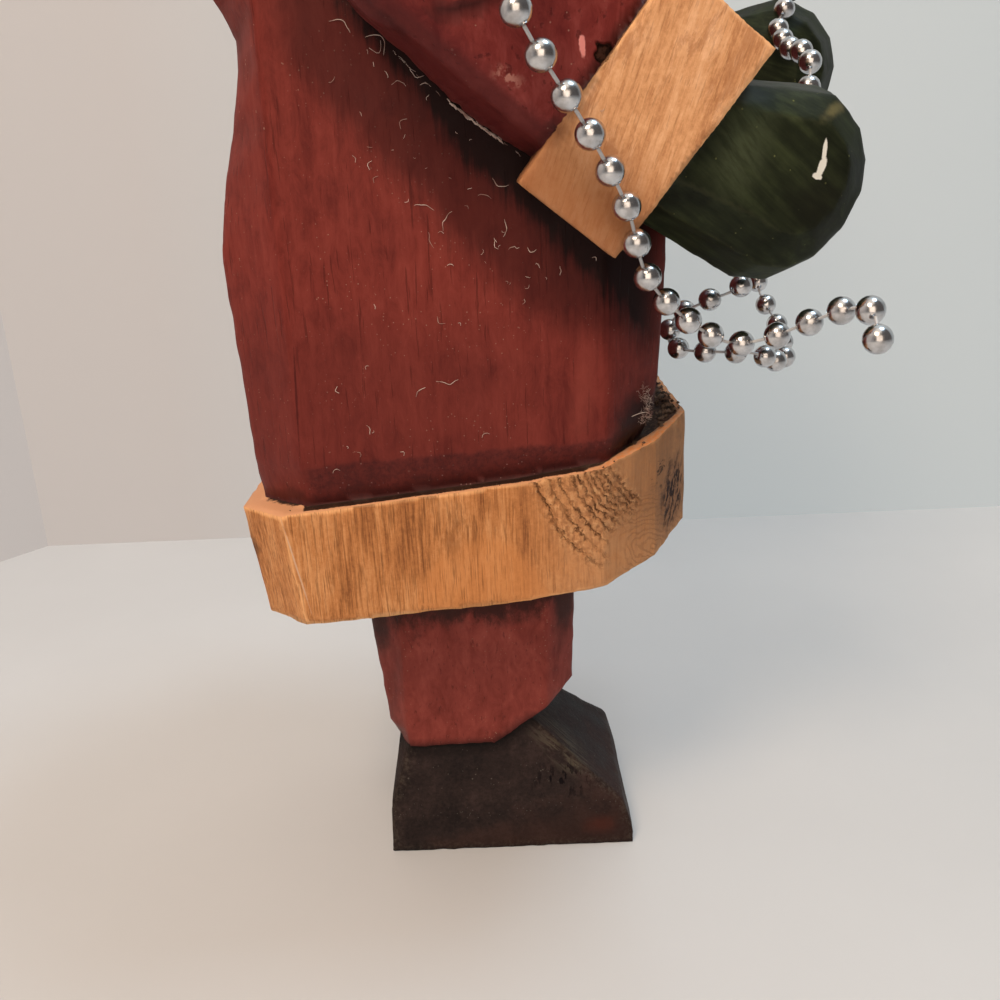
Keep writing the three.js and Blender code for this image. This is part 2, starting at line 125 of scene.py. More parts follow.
clear = brush(tree, "BsdfTransparent")
either = brush(tree, "MixShader", {"Fac": behind, 1: shader.outputs[0], 2: clear.outputs[0]})
tree.links.new(either.outputs[0], tree.nodes["Material Output"].inputs["Surface"])
# The two boards meet in a corner beyond the figure.
length, height = 3000, 1500
far, left = 213.3, 218.7
near = (far - 0.78 * length, left + 0.627 * length)
board("floor", [(-length, -length, 0), (length, -length, 0), (length, length, 0), (-length, length, 0)],
      floor_white, True)
board("back_wall", [(far, left, 0), (far, -length, 0), (far, -length, height), (far, left, height)],
      glowing_wall, False)
board("left_wall", [(*near, 0), (far, left, 0), (far, left, height), (*near, height)], glowing_wall, False)


def lamp(name, place, size, power, colour):
    """A square lamp that shines on the coat, placed in metres."""
    bpy.ops.object.light_add(type="AREA", location=place)
    made = bpy.context.object
    made.name = name
    made.rotation_euler = (Vector((0, 0, 0.13)) - Vector(place)).to_track_quat("-Z", "Y").to_euler()
    made.data.size = size
    made.data.energy = power
    made.data.color = colour


lamp("warm_lamp", (-0.50, 0.25, 0.78), 0.26, 4.8, (1.0, 0.80, 0.62))
lamp("white_lamp", (0.02, -0.46, 1.25), 0.30, 6.2, (0.60, 0.80, 0.96))
lamp("ceiling", (-0.3, 0.1, 1.6), 1.2, 4.5, (1.0, 0.90, 0.78))
lamp("window", (-0.62, 0.02, 0.30), 0.45, 1.2, (1.0, 0.82, 0.66))
world = bpy.data.worlds.new("room_light")
world.use_nodes = True
world.node_tree.nodes["Background"].inputs["Color"].default_value = (1.0, 0.9, 0.85, 1)
world.node_tree.nodes["Background"].inputs["Strength"].default_value = 0.12
bpy.context.scene.world = world
bpy.context.scene.view_settings.view_transform = "Standard"

# Body. One upright block of pine, roughed out with a saw and whittled with a knife: boots,
# trousers, hem band, coat, collar, head, beard and cap. The paint is thin and rubbed.


def alone(piece):
    bpy.ops.object.select_all(action="DESELECT")
    piece.select_set(True)
    bpy.context.view_layer.objects.active = piece


def blank(node, name, depth, finishes, choose):
    """Cuts a CAD node into small even faces, each with the finish of the place that it came from."""
    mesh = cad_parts[node].data.copy()
    mesh.materials.clear()
    piece = bpy.data.objects.new(name, mesh)
    bpy.context.collection.objects.link(piece)
    alone(piece)
    bpy.ops.object.mode_set(mode="EDIT")
    bpy.ops.mesh.select_all(action="SELECT")
    bpy.ops.mesh.remove_doubles(threshold=0.000001)
    bpy.ops.object.mode_set(mode="OBJECT")
    rough = bmesh.new()
    rough.from_mesh(mesh)
    rough.faces.ensure_lookup_table()
    chosen = [finishes.index(choose(face.calc_center_median() / MM, face.normal)) for face in rough.faces]
    sides = BVHTree.FromBMesh(rough)
    seam = []
    for edge in rough.edges:
        if len(edge.link_faces) == 2 and chosen[edge.link_faces[0].index] != chosen[edge.link_faces[1].index]:
            start, end = (vert.co.copy() for vert in edge.verts)
            parts = int((end - start).length / (0.25 * MM)) + 1
            seam += [start.lerp(end, i / parts) for i in range(parts + 1)]
    rough.free()
    cut = piece.modifiers.new("even_faces", "REMESH")
    cut.mode = "SHARP"
    cut.octree_depth = depth
    cut.scale = 0.95
    cut.use_remove_disconnected = False
    bpy.ops.object.modifier_apply(modifier=cut.name)
    for finish in finishes:
        piece.data.materials.append(finish)
    shape = bmesh.new()
    shape.from_mesh(piece.data)
    for face in shape.faces:
        face.material_index = chosen[sides.find_nearest(face.calc_center_median())[2]]
    line = KDTree(len(seam))
    for i, spot in enumerate(seam):
        line.insert(spot, i)
    line.balance()
    for vert in shape.verts:
        if len({face.material_index for face in vert.link_faces}) > 1:
            spot, _, distance = line.find(vert.co)
            if distance < 1.5 * MM:
                vert.co = spot
    shape.to_mesh(piece.data)
    shape.free()
    return piece


def whittle(piece, wobble, nick):
    """Marks the worn edges and the hollow corners, which get dirt and painted shade, then makes the edges uneven as a
    knife does.
    """
    shape = bmesh.new()
    shape.from_mesh(piece.data)
    worn = shape.verts.layers.float.new("worn_edge")
    dirt_and_shade = shape.verts.layers.float.new("corner_dirt_and_shade")
    for vert in shape.verts:
        angles = [e.calc_face_angle_signed(0.0) for e in vert.link_edges if e.is_manifold]
        if angles:
            vert[worn] = min(1.0, max(0.0, max(angles)) / 0.9)
            vert[dirt_and_shade] = min(1.0, max(0.0, -min(angles)) / 0.9)
    for layer, spread in ((worn, 0.45), (dirt_and_shade, 0.72), (dirt_and_shade, 0.72)):
        wider = [max([v[layer]] + [e.other_vert(v)[layer] * spread for e in v.link_edges]) for v in shape.verts]
        for vert, value in zip(shape.verts, wider):
            vert[layer] = value
    for vert in shape.verts:
        at = vert.co / MM
        slow = noise.noise(at * 0.055) + 0.5 * noise.noise(at * 0.14)
        quick = noise.noise(at * Vector((0.35, 0.35, 0.22)) + Vector((7, 3, 1)))
        vert.co += vert.normal * (slow * wobble - vert[worn] * (0.55 + quick) * nick) * MM
    shape.to_mesh(piece.data)
    shape.free()
    alone(piece)
    soft = piece.modifiers.new("hand_worn", "SMOOTH")
    soft.factor = 0.5
    soft.iterations = 1
    bpy.ops.object.modifier_apply(modifier=soft.name)
    bpy.ops.object.shade_smooth()


def cloud(tree, place, scale, detail=4.0, roughness=0.55, distortion=0.0):
    """Soft random patches, finer as the scale grows."""
    return brush(tree, "TexNoise", {"Vector": place, "Scale": scale, "Detail": detail,
                                    "Roughness": roughness, "Distortion": distortion}).outputs["Fac"]


def stretch(tree, place, scale, lean=0.0):
    """Draws a pattern out along the axes of small scale, after leaning it about X by some degrees."""
    return brush(tree, "Mapping", {"Vector": place, "Scale": [1 / s for s in scale],
                                   "Rotation": (math.radians(lean), 0, 0)}, vector_type="TEXTURE").outputs["Vector"]


def span(tree, value, low, high, start=0.0, end=1.0):
    """Eases from start to end as a value goes from low to high."""
    return brush(tree, "MapRange", {"Value": value, "From Min": low, "From Max": high, "To Min": start,
                                    "To Max": end}, interpolation_type="SMOOTHSTEP").outputs["Result"]


def sum_up(tree, kind, first, second=0.0):
    return brush(tree, "Math", {0: first, 1: second}, operation=kind).outputs["Value"]


def times(tree, first, second):
    return sum_up(tree, "MULTIPLY", first, second)


def over(tree, share, under, top):
    """Lays one colour over another, as far as a share between 0 and 1 says."""
    made = brush(tree, "Mix", data_type="RGBA")
    for key, value in (("Factor", share), ("A", under), ("B", top)):
        socket = next(s for s in made.inputs if s.name == key and s.enabled)
        if isinstance(value, bpy.types.NodeSocket):
            tree.links.new(value, socket)
        else:
            socket.default_value = value if isinstance(value, float) else (*value, 1)
    return next(s for s in made.outputs if s.enabled)


def tinted(tree, colour, share, strength, shade):
    """A colour under a shade that is laid on at some strength where a share says."""
    return over(tree, times(tree, share, strength), colour, shade)


def marked(tree, name):
    """A value that was kept for each point of the mesh."""
    return brush(tree, "Attribute", attribute_name=name).outputs["Fac"]


def relief(tree, shader, height, strength, depth):
    """Fine roughness of the surface, its depth in millimetres."""
    made = brush(tree, "Bump", {"Height": height, "Strength": strength, "Distance": depth * MM})
    tree.links.new(made.outputs["Normal"], shader.inputs["Normal"])


def specks(tree, place, scale, size, share):
    """Small grains of dust, with only a share of the cells filled."""
    cells = brush(tree, "TexVoronoi", {"Vector": place, "Scale": scale})
    near = span(tree, cells.outputs["Distance"], size, size * 0.6)
    chosen = brush(tree, "SeparateColor", {"Color": cells.outputs["Color"]}).outputs["Red"]
    return times(tree, near, span(tree, chosen, 1 - share, 1 - share + 0.02))


def away_from(tree, place, centre, reach, turn=0.0):
    """How far a point lies from a spot, where 1 is the edge of an egg of the given half sizes."""
    spot = brush(tree, "Mapping", {"Vector": place, "Location": [c * MM for c in centre],
                                   "Rotation": (math.radians(turn), 0, 0), "Scale": [r * MM for r in reach]},
                 vector_type="TEXTURE")
    return brush(tree, "VectorMath", {0: spot.outputs["Vector"]}, operation="LENGTH").outputs["Value"]


def blob(tree, place, centre, reach, turn=0.0, soft=0.4, ragged=0.0, scale=300.0):
    """A spot with a soft and ragged edge, in millimetres and turned about X by some degrees."""
    away = away_from(tree, place, centre, reach, turn)
    if ragged:
        away = sum_up(tree, "ADD", away, times(tree, cloud(tree, place, scale, 4.0, 0.65), ragged))
        away = sum_up(tree, "SUBTRACT", away, ragged * 0.5)
    return span(tree, away, 1.0, 1.0 - soft)


def parts_of(tree, place):
    split = brush(tree, "SeparateXYZ", {"Vector": place}).outputs
    return split["X"], split["Y"], split["Z"]


def blend_of(tree, *weighed):
    """The total of some values, each at its own weight."""
    total = None
    for value, weight in weighed:
        value = times(tree, value, weight)
        total = value if total is None else sum_up(tree, "ADD", total, value)
    return total


def red_paint(name, dark, mid, light, dust, grain, streak=0.35, gloss=0.52):
    """Thin barn-red paint brushed along the grain over whittled wood."""
    material, tree, shader = fresh_material(name, mid, gloss)
    shader.inputs["Specular IOR Level"].default_value = 0.12
    place = brush(tree, "TexCoord").outputs["Object"]
    along = stretch(tree, place, grain)
    strokes = cloud(tree, along, 900.0, 5.0, 0.7)
    broad = cloud(tree, along, 170.0, 4.0)
    patches = cloud(tree, place, 60.0, 6.0, 0.6)
    mottle = cloud(tree, stretch(tree, place, (1, 1, 0.45)), 330.0, 6.0, 0.72, 0.6)
    body = blend_of(tree, (strokes, streak), (broad, 0.18), (mottle, 0.42), (patches, 0.4 - streak))
    colour = ramp(tree, body, [(0.40, dark), (0.5, mid), (0.62, light)])
    pits = span(tree, cloud(tree, along, 1500.0, 3.0), 0.37, 0.31)
    colour = tinted(tree, colour, pits, 0.45, tuple(c * 0.4 for c in dark))
    # Hollow corners are darkened with grime and painted shade.
    grime_and_shade = times(tree, marked(tree, "corner_dirt_and_shade"), span(tree, patches, 0.3, 0.6, 0.5, 1.0))
    colour = tinted(tree, colour, grime_and_shade, 0.9, (0.010, 0.005, 0.005))
    fine = specks(tree, place, 1300.0, 0.22, dust)
    grit = sum_up(tree, "MAXIMUM", specks(tree, place, 520.0, 0.15, dust * 0.5), fine)
    grit = times(tree, grit, span(tree, patches, 0.42, 0.56, 0.15, 1.0))
    colour = tinted(tree, colour, grit, 0.55, (0.36, 0.21, 0.16))
    tree.links.new(colour, shader.inputs["Base Color"])
    tree.links.new(span(tree, patches, 0.3, 0.7, gloss - 0.08, gloss + 0.12), shader.inputs["Roughness"])
    height = blend_of(tree, (strokes, 0.5), (patches, 0.6), (grit, 0.8), (pits, -0.8))
    relief(tree, shader, height, 0.5, 0.14)
    return material, tree, shader, place, colour, along, patches


def bare_wood(name, dark, mid, light, grain, hair=0.5, edge_shade=(0.85, 0.47, 0.22), lean=0.0):
    """Unpainted pine, darkened by handling, with fine grain lines and cloudy stains."""
    material, tree, shader = fresh_material(name, mid, 0.62)
    shader.inputs["Specular IOR Level"].default_value = 0.12
    place = brush(tree, "TexCoord").outputs["Object"]
    along = stretch(tree, place, grain, lean)
    lines = cloud(tree, along, 1500.0, 4.0, 0.65)
    broad = cloud(tree, along, 330.0, 3.0, 0.6)
    fuzz = cloud(tree, place, 1100.0, 4.0, 0.75)
    stains = cloud(tree, stretch(tree, place, (1, 1, 0.55)), 75.0, 7.0, 0.66, 0.4)
    body = blend_of(tree, (lines, hair * 0.5), (broad, hair * 0.3), (fuzz, 0.16), (stains, 0.84 - hair * 0.8))
    colour = ramp(tree, body, [(0.39, dark), (0.49, mid), (0.60, light)])
    pores = span(tree, cloud(tree, along, 2600.0, 3.0, 0.6), 0.44, 0.34)
    colour = tinted(tree, colour, pores, hair * 0.55, tuple(c * 0.5 for c in dark))
    edge = sum_up(tree, "ADD", marked(tree, "worn_edge"), times(tree, stains, 0.6))
    colour = tinted(tree, colour, span(tree, edge, 0.9, 1.25), 0.6, edge_shade)
    # Hollow corners are darkened with dirt and painted shade.
    colour = tinted(tree, colour, marked(tree, "corner_dirt_and_shade"), 0.85, (0.02, 0.009, 0.007))
    tree.links.new(colour, shader.inputs["Base Color"])
    height = blend_of(tree, (lines, 0.6), (fuzz, 0.5), (pores, -0.5))
    relief(tree, shader, height, 0.5, 0.12)
    return material, tree, shader, place, colour, height


# Coat paint. Grime and painted shade lie on the sloping foot, painted shadow and grime under the right sleeve with a
# black painted shadow in the gap just below it, and grime by the hem's front corner.
coat_red, tree, shader, place, colour, along, patches = red_paint(
    "coat_red", (0.107, 0.0138, 0.0105), (0.164, 0.0245, 0.0182), (0.212, 0.0365, 0.0275), 0.16, (1, 1, 0.06), 0.16)
x, y, z = parts_of(tree, place)
# The sloping foot faces down: it is darkened with grime and painted shade.
grimy_shaded_foot = blend_of(tree, (z, 1.0), (y, 0.05), (cloud(tree, place, 150.0, 5.0, 0.7), 0.0035))
grimy_shaded_foot = times(tree, span(tree, grimy_shaded_foot, 0.1162, 0.1148), span(tree, y, 0.042, 0.037))
mottle = span(tree, cloud(tree, place, 800.0, 5.0, 0.75), 0.40, 0.62)
colour = tinted(tree, colour, grimy_shaded_foot, blend_of(tree, (mottle, 0.35), (grimy_shaded_foot, 0.35)), (0.030, 0.0085, 0.0095))
dusty = times(tree, specks(tree, place, 980.0, 0.20, 0.10), grimy_shaded_foot)
colour = tinted(tree, colour, dusty, 0.6, (0.30, 0.18, 0.16))
lower = times(tree, span(tree, z, 0.152, 0.128), span(tree, y, -0.016, 0.008, 0.45, 1.0))
colour = tinted(tree, colour, lower, 0.30, (0.070, 0.0120, 0.0100))
# Under the right sleeve the coat is darkened with the sleeve's painted shadow and with grime.
streaks = cloud(tree, along, 620.0, 5.0, 0.75)
below = blend_of(tree, (y, -1.07), (z, 1.0), (streaks, 0.012), (patches, 0.016))
here = times(tree, span(tree, x, -0.030, -0.038), span(tree, y, 0.040, 0.030))
front = span(tree, y, -0.008, -0.025, 0.0, 0.012)
under_arm_shadow_and_grime = times(tree, span(tree, sum_up(tree, "SUBTRACT", below, front), 0.1590, 0.1700), here)
colour = tinted(tree, colour, under_arm_shadow_and_grime, 0.68, (0.026, 0.0026, 0.0024))
# Right under the sleeve's edge the gap is painted nearly black, as its painted shadow.
close = sum_up(tree, "SUBTRACT", below, span(tree, y, 0.003, 0.022, 0.0, 0.004))
painted_gap_shadow = times(tree, span(tree, close, 0.1795, 0.1850), here)
colour = tinted(tree, colour, painted_gap_shadow, 0.90, (0.0040, 0.0010, 0.0010))
corner = blob(tree, place, (-36, -33, 116), (16, 13, 11), -20, 0.6, 0.5, 220.0)
colour = tinted(tree, colour, corner, 0.92, (0.010, 0.004, 0.004))
bright = blob(tree, place, (-43, -18, 124), (6, 3.6, 17), 8, 0.9, 0.8, 160.0)
colour = tinted(tree, colour, bright, 0.30, (0.26, 0.055, 0.040))
scratch = blob(tree, place, (-43, 39.4, 126), (3, 0.30, 16), 3, 0.6, 1.3, 420.0)
colour = tinted(tree, colour, scratch, 0.65, (0.040, 0.006, 0.006))
tree.links.new(colour, shader.inputs["Base Color"])

# Trouser paint, a little paler, with old grime and painted shade below the overhanging hem and down two corners.
trouser_red, tree, shader, place, colour, *_ = red_paint(
    "trouser_red", (0.150, 0.0255, 0.0195), (0.215, 0.0405, 0.0315), (0.285, 0.0630, 0.0500), 0.20, (1, 1, 0.3), 0.10)
_, y, z = parts_of(tree, place)
ragged = cloud(tree, stretch(tree, place, (1, 1, 0.6)), 170.0, 6.0, 0.75)
under_hem = blend_of(tree, (z, 1.0), (y, 0.10), (ragged, 0.020))
grime_and_shade = span(tree, under_hem, 0.0722, 0.0790)
# Two corners below the hem are painted darker, as grime and painted shade.
corners = sum_up(tree, "MAXIMUM", blob(tree, place, (-17, 33, 66), (8, 8, 17), 0, 0.6, 0.7, 200.0),
                 blob(tree, place, (-17, -15, 68), (8, 4.5, 16), 0, 0.7, 0.7, 200.0))
colour = tinted(tree, colour, sum_up(tree, "MAXIMUM", grime_and_shade, corners), 0.84, (0.013, 0.008, 0.007))
tree.links.new(colour, shader.inputs["Base Color"])

# Bare hem, handled clean below and stained above. The rings' radii count from the middle of the tree.
ring_radii = (42.3, 39.6, 37.4, 34.9, 33.3, 31.8, 30.5, 29.2, 27.9, 26.6)
hem_wood, tree, shader, place, colour, height = bare_wood(
    "hem_wood", (0.245, 0.088, 0.030), (0.480, 0.196, 0.068), (0.640, 0.310, 0.130), (1, 1, 0.05), 0.62)
_, y, z = parts_of(tree, place)
fuzz = cloud(tree, place, 420.0, 5.0, 0.75)
clean = blob(tree, place, (-44, 4, 68), (40, 17, 29), 0, 0.12, 0.16, 120.0)
colour = tinted(tree, colour, clean, 0.55, (0.590, 0.235, 0.078))
brown = span(tree, cloud(tree, stretch(tree, place, (1, 1, 0.3)), 150.0, 6.0, 0.75), 0.46, 0.60)
where = blob(tree, place, (-44, 15, 99), (30, 17, 15), 0, 0.9, 0.5, 90.0)
colour = tinted(tree, colour, times(tree, brown, where), 0.70, (0.165, 0.052, 0.014))
grey = times(tree, span(tree, y, -0.002, -0.024), span(tree, fuzz, 0.3, 0.6, 0.6, 1.0))
colour = tinted(tree, colour, grey, 0.70, (0.500, 0.268, 0.135))
soot = times(tree, span(tree, y, -0.022, -0.036), span(tree, z, 0.082, 0.100))
colour = tinted(tree, colour, times(tree, soot, fuzz), 0.9, (0.120, 0.062, 0.036))
fine_hairs = span(tree, cloud(tree, stretch(tree, place, (1, 1, 0.03)), 2600.0, 3.0, 0.6), 0.47, 0.36)
fine_hairs = times(tree, fine_hairs, span(tree, y, -0.006, 0.004))
colour = tinted(tree, colour, fine_hairs, 0.5, (0.150, 0.055, 0.018))
# The growth rings break out at the front corner as torn grooves with lumpy ridges between them.
# The grooves are painted dark with grime and painted shade, the lumps' hollows get painted shade and their tops a
# painted highlight.
shown = marked(tree, "ring_shown")
knobs = cloud(tree, place, 820.0, 4.0, 0.65)
ragged = times(tree, cloud(tree, place, 800.0, 4.0, 0.7), 0.0034)
reach = sum_up(tree, "ADD", marked(tree, "ring_reach"), sum_up(tree, "SUBTRACT", ragged, 0.0017))
groove = None
for radius in ring_radii:
    off = sum_up(tree, "SUBTRACT", reach, radius * MM)
    line = times(tree, span(tree, off, -0.00025, -0.00005), span(tree, off, 0.00055, 0.00005))
    groove = line if groove is None else sum_up(tree, "MAXIMUM", groove, line)
groove = times(tree, groove, shown)
# Painted shade in the lumps' hollows, a painted highlight on their tops, and dark grooves of grime and painted shade.
lumps = times(tree, span(tree, knobs, 0.52, 0.36), shown)
colour = tinted(tree, colour, lumps, 0.60, (0.250, 0.105, 0.044))
colour = tinted(tree, colour, span(tree, knobs, 0.52, 0.64), times(tree, shown, 0.5), (0.700, 0.410, 0.200))
colour = tinted(tree, colour, groove, span(tree, fuzz, 0.38, 0.58, 0.25, 1.0), (0.105, 0.042, 0.018))
# Below them the wood is smooth again, with fine oval lines round a hidden branch.
oval = away_from(tree, place, (-36, -33.5, 88.5), (26, 8, 4.2), 24)
oval = blend_of(tree, (oval, 1.0), (cloud(tree, place, 260.0, 4.0), 0.9))
waves = span(tree, sum_up(tree, "SINE", times(tree, oval, 25.0)), 0.1, 1.0)
zone = times(tree, span(tree, oval, 3.6, 2.8), span(tree, shown, 0.5, 0.1))
zone = times(tree, zone, span(tree, y, -0.024, -0.029))
waves = times(tree, waves, zone)
colour = tinted(tree, colour, waves, 0.34, (0.220, 0.105, 0.052))
slashes = span(tree, cloud(tree, stretch(tree, place, (1, 1, 0.2), 24), 980.0, 3.0, 0.6), 0.49, 0.56)
core = blob(tree, place, (-29, -38.8, 98), (9, 5.6, 11.5), 18, 0.6, 0.6, 260.0)
colour = tinted(tree, colour, core, 0.45, (0.180, 0.085, 0.050))
slashes = times(tree, slashes, core)
colour = tinted(tree, colour, slashes, 0.95, (0.018, 0.008, 0.008))
wavy = span(tree, cloud(tree, stretch(tree, place, (0.5, 0.5, 1), -14), 620.0, 3.0, 0.6, 0.8), 0.53, 0.60)
upper = blob(tree, place, (-33, -35.4, 104.5), (7, 6.5, 5.0), 20, 0.7, 0.7, 400.0)
colour = tinted(tree, colour, times(tree, wavy, upper), 0.9, (0.055, 0.024, 0.013))
split_line = blob(tree, place, (-44, 42.9, 90), (6, 0.26, 13.5), -10.5, 0.7, 0.8, 500.0)
colour = tinted(tree, colour, split_line, 0.6, (0.60, 0.46, 0.36))
tree.links.new(colour, shader.inputs["Base Color"])
bumpy = blend_of(tree, (height, 0.25), (times(tree, knobs, shown), 1.6), (groove, -0.7), (slashes, -0.6),
                 (waves, -0.2))
relief(tree, shader, bumpy, 0.8, 0.45)

# Collar, cap brim and pompom are bare too.
trim_wood = bare_wood("trim_wood", (0.34, 0.155, 0.062), (0.54, 0.27, 0.12), (0.68, 0.39, 0.20), (1, 1, 0.06))[0]

# Years of dust have blackened the hem's ledge, all but its outer rim.
shelf_dirt, tree, shader, place, colour, _ = bare_wood(
    "shelf_dirt", (0.018, 0.008, 0.006), (0.042, 0.018, 0.012), (0.110, 0.052, 0.030), (1, 1, 1))
y = parts_of(tree, place)[1]
rim = sum_up(tree, "ADD", marked(tree, "outer_rim"), times(tree, cloud(tree, place, 700.0, 4.0, 0.7), 0.6))
colour = over(tree, span(tree, rim, 0.66, 0.86), colour, (0.66, 0.33, 0.175))
fresh = times(tree, span(tree, rim, 0.80, 1.0), span(tree, y, -0.014, -0.026))
colour = tinted(tree, colour, fresh, span(tree, cloud(tree, place, 900.0, 3.0, 0.7), 0.42, 0.58), (0.72, 0.28, 0.10))
dust = times(tree, span(tree, cloud(tree, place, 900.0, 5.0, 0.8), 0.46, 0.62),
             span(tree, y, -0.012, -0.028, 0.1, 1.0))
dust = times(tree, dust, span(tree, rim, 0.8, 0.6))
colour = tinted(tree, colour, dust, 0.60, (0.15, 0.085, 0.050))
tree.links.new(colour, shader.inputs["Base Color"])

# Boot paint is thin black over brown wood, rubbed along the instep, nicked and gritty.
boot_black, tree, shader = fresh_material("boot_black", (0.022, 0.016, 0.014), 0.55)
shader.inputs["Specular IOR Level"].default_value = 0.05
place = brush(tree, "TexCoord").outputs["Object"]
_, y, z = parts_of(tree, place)
patches = cloud(tree, place, 85.0, 6.0, 0.65)
fine = cloud(tree, place, 900.0, 4.0, 0.75)
colour = ramp(tree, blend_of(tree, (patches, 0.6), (fine, 0.4)),
              [(0.38, (0.0150, 0.0115, 0.0115)), (0.52, (0.0290, 0.0200, 0.0190)), (0.66, (0.052, 0.034, 0.032))])
low = blend_of(tree, (z, -1.0), (y, -0.35), (patches, 0.035))
colour = tinted(tree, colour, span(tree, low, 0.004, 0.018), 0.35, (0.050, 0.021, 0.015))
rust = blob(tree, place, (-22, -23, 6.0), (5, 6.5, 4.0), 0, 0.9, 1.0, 200.0)
colour = tinted(tree, colour, rust, 0.55, (0.080, 0.021, 0.014))
scratch = cloud(tree, stretch(tree, place, (1, 0.07, 1), 45), 1300.0, 4.0, 0.65)
rubbed = blob(tree, place, (-19.0, -13, 27), (16, 15.5, 5.0), 45, 0.9, 0.8, 200.0)
rubbed = times(tree, rubbed, span(tree, scratch, 0.47, 0.57))
worn = times(tree, marked(tree, "worn_edge"), span(tree, fine, 0.46, 0.62, 0.0, 0.6))
colour = tinted(tree, colour, sum_up(tree, "MAXIMUM", rubbed, worn), 0.60, (0.105, 0.090, 0.066))
nicks = blob(tree, place, (-21, -13, 19), (8, 11, 7), 0, 0.8, 0.4, 150.0)
nicks = times(tree, nicks, span(tree, cloud(tree, stretch(tree, place, (1, 1, 0.4)), 620.0, 3.0, 0.6), 0.54, 0.60))
colour = tinted(tree, colour, nicks, 0.9, (0.004, 0.003, 0.004))
grit = sum_up(tree, "MAXIMUM", specks(tree, place, 620.0, 0.15, 0.10), specks(tree, place, 1500.0, 0.22, 0.10))
colour = tinted(tree, colour, grit, 0.42, (0.20, 0.18, 0.15))
# Hollow corners are darkened with dirt and painted shade.
colour = tinted(tree, colour, marked(tree, "corner_dirt_and_shade"), 0.8, (0.006, 0.005, 0.005))
tree.links.new(colour, shader.inputs["Base Color"])
tree.links.new(span(tree, patches, 0.35, 0.65, 0.46, 0.66), shader.inputs["Roughness"])
relief(tree, shader, blend_of(tree, (fine, 0.8), (scratch, 0.4), (nicks, -1.0)), 0.6, 0.18)


def plain_paint(name, dark, light, bare, rough):
    """One colour of paint, rubbed to the wood at its edges."""
    material, tree, shader = fresh_material(name, light, rough)
    shader.inputs["Specular IOR Level"].default_value = 0.3
    place = brush(tree, "TexCoord").outputs["Object"]
    strokes = cloud(tree, stretch(tree, place, (1, 1, 0.1)), 700.0, 5.0, 0.65)
    patches = cloud(tree, place, 70.0, 5.0)
    colour = ramp(tree, blend_of(tree, (strokes, 0.5), (patches, 0.5)), [(0.4, dark), (0.6, light)])
    edge = sum_up(tree, "ADD", marked(tree, "worn_edge"), times(tree, cloud(tree, place, 300.0), 0.9))
    colour = tinted(tree, colour, span(tree, edge, 1.1, 1.5), 0.6, bare)
    # Hollow corners are darkened with dirt and painted shade.
    colour = tinted(tree, colour, marked(tree, "corner_dirt_and_shade"), 0.7, tuple(c * 0.2 for c in dark))
    colour = tinted(tree, colour, specks(tree, place, 800.0, 0.2, 0.08), 0.5, (0.3, 0.24, 0.2))
    tree.links.new(colour, shader.inputs["Base Color"])
    relief(tree, shader, strokes, 0.5, 0.12)
    return material


skin_paint = plain_paint("skin_paint", (0.47, 0.22, 0.13), (0.60, 0.32, 0.20), (0.62, 0.36, 0.18), 0.55)
white_paint = plain_paint("beard_white", (0.50, 0.43, 0.34), (0.68, 0.62, 0.52), (0.52, 0.30, 0.15), 0.6)
eye_paint = plain_paint("eye_black", (0.010, 0.009, 0.009), (0.018, 0.016, 0.015), (0.1, 0.07, 0.05), 0.35)


def limited(value):
    """A value kept between 0 and 1."""
    return min(1.0, max(0.0, value))


# Heights and half widths of the block's parts, in millimetres, as they stand in the solid.
boot_top, instep_rise, instep_start, trouser_middle = 30.5, 0.7026, 3.5, 60
hem_front, hem_back, hem_half = -42.25, 55.25, 44.5
hem_foot, hem_top, hem_climb = 75.6, 101.1, 14.6
front_cut, back_cut, diagonal = 14.5, 7, 0.7071
collar_foot, collar_half, neck = 242.1, 34.4, 254.4
moustache_height, moustache_half, beard_top, beard_length = 265.4, 17, 268.6, 54.6
beard_halves = ((0, 21.5), (10.8, 22.5), (24.9, 20.5), (38.9, 15.5), (48.6, 9.2), (beard_length, 4.6))
face_half, face_back = 20.9, -5.6
eye_side, eye_front, eye_height, eye_reach = 8, -21, 278.8, 2.5
brim_foot, brim_top = 287.1, 301.5
pompom, pompom_reach = Vector((0, 16, 326.1)), 7.9


def climb(y, straight):
    """How far the hem's edge has risen at a distance from its back, in millimetres."""
    def rise(at):
        share = limited((hem_back - at) / (hem_back - hem_front))
        return hem_climb * (straight * share + (1 - straight) * share ** 6)
    # The hem's edges run straight between these places.
    marks = (hem_front, -33.8, -21.75, -3.5, 45.25, hem_back)
    if y <= marks[0]:
        return rise(marks[0])
    for low, high in zip(marks, marks[1:]):
        if y <= high:
            return rise(low) + (rise(high) - rise(low)) * (y - low) / (high - low)
    return 0.0


def beard_half(down):
    """Half the beard's width at a depth below its top."""
    for (high, wide), (low, narrow) in zip(beard_halves, beard_halves[1:]):
        if down <= low:
            return wide + (narrow - wide) * (down - high) / (low - high)


